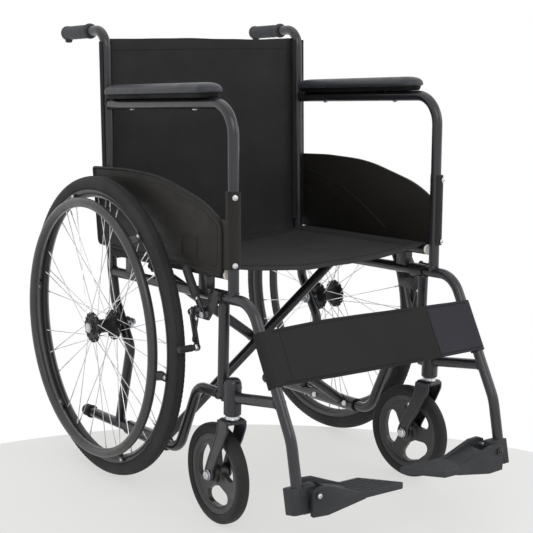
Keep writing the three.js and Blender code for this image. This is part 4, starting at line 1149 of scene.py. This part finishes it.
def back_sling():
    """The back cloth hangs on the rear of the posts and bellies a little, with pulls from the screws."""
    columns, row_count = 64, 56
    low, high = BACK_LOW, BACK_HIGH
    half = HALF_TRACK - 2

    def place(x, z):
        t = x / half
        belly = 15 * (1 - t * t) * (0.55 + 0.45 * sin(pi * (z - low) / (high - low)))
        fold = 3.4 * ripple(x, z, 120, 2.0) * (1 - t * t) + 2.0 * ripple(x * 0.5, z, 42, 5.0) * (1 - t**4)
        slant = 2.4 * ripple(x * 0.7 + z * 0.5, z * 0.7 - x * 0.35, 64, 11.0) * (1 - t * t)
        fold += slant * (1 - ease(z, 560, 720))
        pull = 5.5 * math.exp(-(((x - 203) / 15) ** 2)) + 1.6 * math.exp(-(((x + 190) / 22) ** 2))
        for screw in BACK_SCREWS:
            pull += 1.6 * math.exp(-(((z - screw) / 26) ** 2)) * math.exp(-(((abs(x) - half) / 60) ** 2))
        return Vector((x, post_y(z) + 12.2 + belly + fold - pull, z))

    def top_of(x):
        return high + 1.5 - 3.4 * math.exp(-(((x - 120) / 90) ** 2)) + 0.8 * ripple(x, 0, 60, 9.0)

    xs = [half * (2 * j / columns - 1) for j in range(columns + 1)]
    rows = []
    for i in range(row_count + 1):
        share = i / row_count
        rows.append([place(x, low + (top_of(x) - low) * share) for x in xs])

    def thick(i, j):
        share = i / row_count * (high - low)
        edge = min(share, high - low - share)
        side = half - abs(xs[j])
        if i in (0, row_count) or j in (0, columns):
            return 1.6
        return 2.6 + 0.9 * (1 - ease(edge, 18, 26)) + 0.5 * (1 - ease(side, 20, 30))

    sling = Solid().add(cloth(rows, thick, lambda i, j: (xs[j] * MM, i / row_count * (high - low) * MM)))
    hem, ahead = 21, Vector((0, -1, 0))
    for z in (low + hem, high - hem):
        stitch_run(sling, [place(x, z) + ahead * 1.5 for x in xs[3:-3]], ahead, 1)
    made = piece("back_sling_cloth", sling, [NYLON, THREAD], "right_frame", ["back_sling"], sharp=70)
    for side, s in SIDES:
        path = [Vector((s * HALF_TRACK, post_y(z) + 0.4, z)) for z in (WRAP_LOW, 600, 740, 846, 858)]
        start = radians(-26 if s > 0 else -28)
        solid = Solid().add(sleeve(path, 13.4, 10.6, 26, start, start + radians(234), SIDEWAYS))
        solid.uvs = [(p.x * MM * 2, p.z * MM) for p in solid.points]
        piece(f"back_sling_{side}_wrap", solid, [NYLON], f"{side}_frame")
    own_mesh(made)


SEAT_FREE = 222  # half the width of seat cloth that lies free between the rails


def seat_sling():
    """The seat cloth wraps over both seat rails and sags between them. Its front and rear are hemmed."""
    front, rear = SEAT_RAIL_FRONT + 4, SEAT_RAIL_REAR + 2
    wrap, sag, leave, tucked = 12.0, 19.0, radians(9), radians(125)
    round_steps, steps, count = 14, 52, 56
    section = []
    for k in range(round_steps):
        angle = tucked - (tucked + leave) * k / (round_steps - 1)
        section.append((-HALF_TRACK - wrap * sin(angle), wrap * cos(angle)))
    edge_x, edge_h = section[-1]
    for k in range(1, steps):
        x = edge_x + (-2 * edge_x) * k / steps
        section.append((x, edge_h - sag * (1 - (x / edge_x) ** 2)))
    section += [(-x, h) for x, h in section[:round_steps][::-1]]
    run = [0.0]
    for a, b in zip(section, section[1:]):
        run.append(run[-1] + math.hypot(b[0] - a[0], b[1] - a[1]))
    ys = [front + (rear - front) * i / count for i in range(count + 1)]

    def place(x, h, y):
        free = max(0.0, 1 - (x / SEAT_FREE) ** 2)
        fold = 2.2 * ripple(x, y, 90, 1.0) * free + 1.3 * ripple(x, y * 0.5, 34, 4.0) * free
        hem = 3.5 * (1 - ease(y, front, front + 9)) * free**0.3
        return Vector((x, y, seat_rail_z(y) + h + fold - hem))

    rows = [[place(x, h, y) for x, h in section] for y in ys]
    last = len(section) - 1

    def thick(i, j):
        if i in (0, count) or j in (0, last):
            return 1.6
        edge = min(ys[i] - front, rear - ys[i])
        wide = abs(section[j][0]) < SEAT_FREE
        return 2.6 + (2.2 * wide) + 1.6 * (1 - ease(edge, 18, 22)) * wide

    sling = Solid().add(cloth(rows, thick, lambda i, j: (run[j] * MM, ys[i] * MM)))
    across_line = [p for p in section if abs(p[0]) < 218]
    for y in (front + 7, front + 20, rear - 20):
        stitch_run(sling, [place(x, h, y) + UP * 3.0 for x, h in across_line], UP, 1)
    for target in (-204, 204, -198, 198):
        x, h = min(section[round_steps:-round_steps], key=lambda p: abs(p[0] - target))
        stitch_run(sling, [place(x, h, y) + UP * 2.7 for y in ys[1:-1]], UP, 1)
    # the seat cloth takes the nylon copy that is lightened as painted light
    made = piece("seat_sling_cloth", sling, [SEAT_NYLON_PAINTED_LIGHT, THREAD], None, ["seat_sling"], sharp=70)
    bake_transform(made)


def leg_axis(z):
    """The leg tube's axis on its straight."""
    (y0, z0), (y1, z1) = RAIL_PATH[1], RAIL_PATH[2]
    return Vector((0, y0 + (z - z0) * (y1 - y0) / (z1 - z0), z))


def calf_strap():
    """A band across the leg tubes, with loops round them. Its left end folds back on itself as a flap."""
    up = (leg_axis(387) - leg_axis(303)).normalized()
    forward = Vector((0, -up.z, up.y))
    low, long = leg_axis(303), (leg_axis(388) - leg_axis(303)).length
    half = HALF_TRACK - 1
    columns, row_count = 60, 16
    xs = [half * (2 * j / columns - 1) for j in range(columns + 1)]

    def place(x, t, proud=0.0):
        share = x / half
        belly = 9 * (1 - share * share)
        fold = 2.2 * ripple(x, t, 60, 7.0) * (1 - share**4) + 1.1 * ripple(x, t * 0.4, 24, 8.0)
        crossed = (share + 1) / 2
        bow = 1.6 * sin(pi * crossed) * (t / long - 0.5)
        bow += 9 * sin(pi * crossed) * (1 - crossed) ** 0.7 * (t / long)
        return SIDEWAYS * x + low + up * (t + bow) + forward * (12.2 - belly + fold + proud)

    rows = [[place(x, long * i / row_count) for x in xs] for i in range(row_count + 1)]

    def thick(i, j):
        if i in (0, row_count) or j in (0, columns):
            return 1.4
        return 3.4 if i in (1, row_count - 1) else 2.6

    band = Solid().add(cloth(rows, thick, lambda i, j: (xs[j] * MM, long * i / row_count * MM)))
    flap_start, flap_columns, flap_rows = 138, 14, 12
    flap_xs = [flap_start + (half - flap_start) * j / flap_columns for j in range(flap_columns + 1)]
    flap = [[place(x, long * i / flap_rows, 1.9) for x in flap_xs] for i in range(flap_rows + 1)]
    band.add(cloth(flap, lambda i, j: 0.6 if i in (0, flap_rows) or j in (0, flap_columns) else 1.6,
                   lambda i, j: (flap_xs[j] * MM, long * i / flap_rows * MM)), 1)
    for t in (5, long - 5):
        stitch_run(band, [place(x, t, 1.8) for x in xs[2:44]], forward, 2)
        stitch_run(band, [place(x, t, 2.9) for x in flap_xs], forward, 2)
    stitch_run(band, [place(-203, 6 + (long - 12) * k / 8, 1.3) for k in range(9)], forward, 0)
    made = piece("calf_strap_band", band, [STRAP, FLAP, THREAD], "right_frame", ["calf_strap"], sharp=70)
    for side, s in SIDES:
        x = s * HALF_TRACK
        path = [SIDEWAYS * x + low + up * t for t in (0.2, 2, long / 2, long - 2, long - 0.2)]
        loop = Solid().add(sleeve(path, 13.4, 10.5, 36))
        loop.uvs = [(math.atan2(p.y - leg_axis(p.z).y, p.x - x) * 0.012, p.z * MM) for p in loop.points]
        look = FLAP if s > 0 else STRAP
        piece(f"calf_strap_{side}_loop", loop, [look], f"{side}_frame")
    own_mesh(made)


# ---- the whole chair ----

for side, s in SIDES:
    side_frame(side, s)
    rear_wheel(side, s)
    caster(side, s)
    wheel_lock(side, s)
    foot_rest(side, s)
    for place in ("front", "rear"):
        rail_plug(side, s, place)
brace("brace_front", -1, -BRACE_OFFSET)
brace("brace_rear", 1, BRACE_OFFSET)
brace_bolt()
back_sling()
seat_sling()
calf_strap()

# ---- floor, light and camera ----

FLOOR_CENTRE = (-0.4695, -0.7176)
FLOOR_RADIUS = 1.1329
CAMERA_PLACE = (-1.5277, -2.1610, 0.9815)
CAMERA_ANGLES = (-35.2, 11.8, 1.3)  # azimuth, elevation and roll, in degrees
FOCAL_LENGTH = 91.41
LENS_SHIFT = (0.0004, -0.0047)
CHAIR_MIDDLE = (0, 0, 0.45)
LIGHTS = (  # name, place, size and power
    ("key", (-1.0, -2.6, 2.6), 2.2, 24),
    ("fill", (2.4, -1.8, 1.8), 1.8, 13),
    ("top", (0.2, 0.6, 3.4), 2.6, 8),
)


def round_floor():
    mesh = bpy.data.meshes.new("floor")
    rim = circle(Vector((*FLOOR_CENTRE, 0)), SIDEWAYS, Vector((0, 1, 0)), FLOOR_RADIUS, 180)
    mesh.from_pydata(rim, [], [tuple(range(180))])
    look = Look("floor_paper", Specular_IOR_Level=0.1, Emission_Strength=0.58)
    look.shader.inputs["Emission Color"].default_value = (1, 1, 0.985, 1)
    tone = look.tone(look.noise(1.2, 2), grey(0.195, 0.004), grey(0.20, 0.004), end=0.7)
    roughness = look.span(look.noise(5, 2), 0.8, 0.9)
    mesh.materials.append(look.finish(tone, roughness, look.bump(look.noise(400, 2), 0.02, 0.0005)))
    floor = bpy.data.objects.new("floor", mesh)
    bpy.context.scene.collection.objects.link(floor)


def area_light(name, place, size, power):
    data = bpy.data.lights.new(name, "AREA")
    data.shape = "DISK"
    data.size = size
    data.energy = power
    light = bpy.data.objects.new(name, data)
    light.location = place
    light.rotation_mode = "QUATERNION"
    light.rotation_quaternion = (Vector(CHAIR_MIDDLE) - Vector(place)).to_track_quat("-Z", "Y")
    bpy.context.scene.collection.objects.link(light)


def studio():
    scene = bpy.context.scene
    world = bpy.data.worlds.new("studio")
    scene.world = world
    world.use_nodes = True
    background = world.node_tree.nodes["Background"]
    background.inputs["Color"].default_value = (1, 1, 1, 1)
    background.inputs["Strength"].default_value = 1.0
    scene.view_settings.view_transform = "Standard"
    for light in LIGHTS:
        area_light(*light)
    round_floor()


def camera():
    azimuth, elevation, roll = (radians(a) for a in CAMERA_ANGLES)
    data = bpy.data.cameras.new("camera")
    data.sensor_width = 36
    data.lens = FOCAL_LENGTH
    data.shift_x, data.shift_y = LENS_SHIFT
    data.clip_start, data.clip_end = 0.05, 60
    right = Vector((cos(azimuth), sin(azimuth), 0))
    back = Vector((sin(azimuth) * cos(elevation), -cos(azimuth) * cos(elevation), sin(elevation)))
    up = back.cross(right)
    level = right * cos(roll) + up * sin(roll)
    upright = up * cos(roll) - right * sin(roll)
    turn = Matrix((level, upright, back)).transposed().to_4x4()
    seen = bpy.data.objects.new("camera", data)
    seen.matrix_world = moved(CAMERA_PLACE) @ turn
    bpy.context.scene.collection.objects.link(seen)
    bpy.context.scene.camera = seen


camera()
studio()
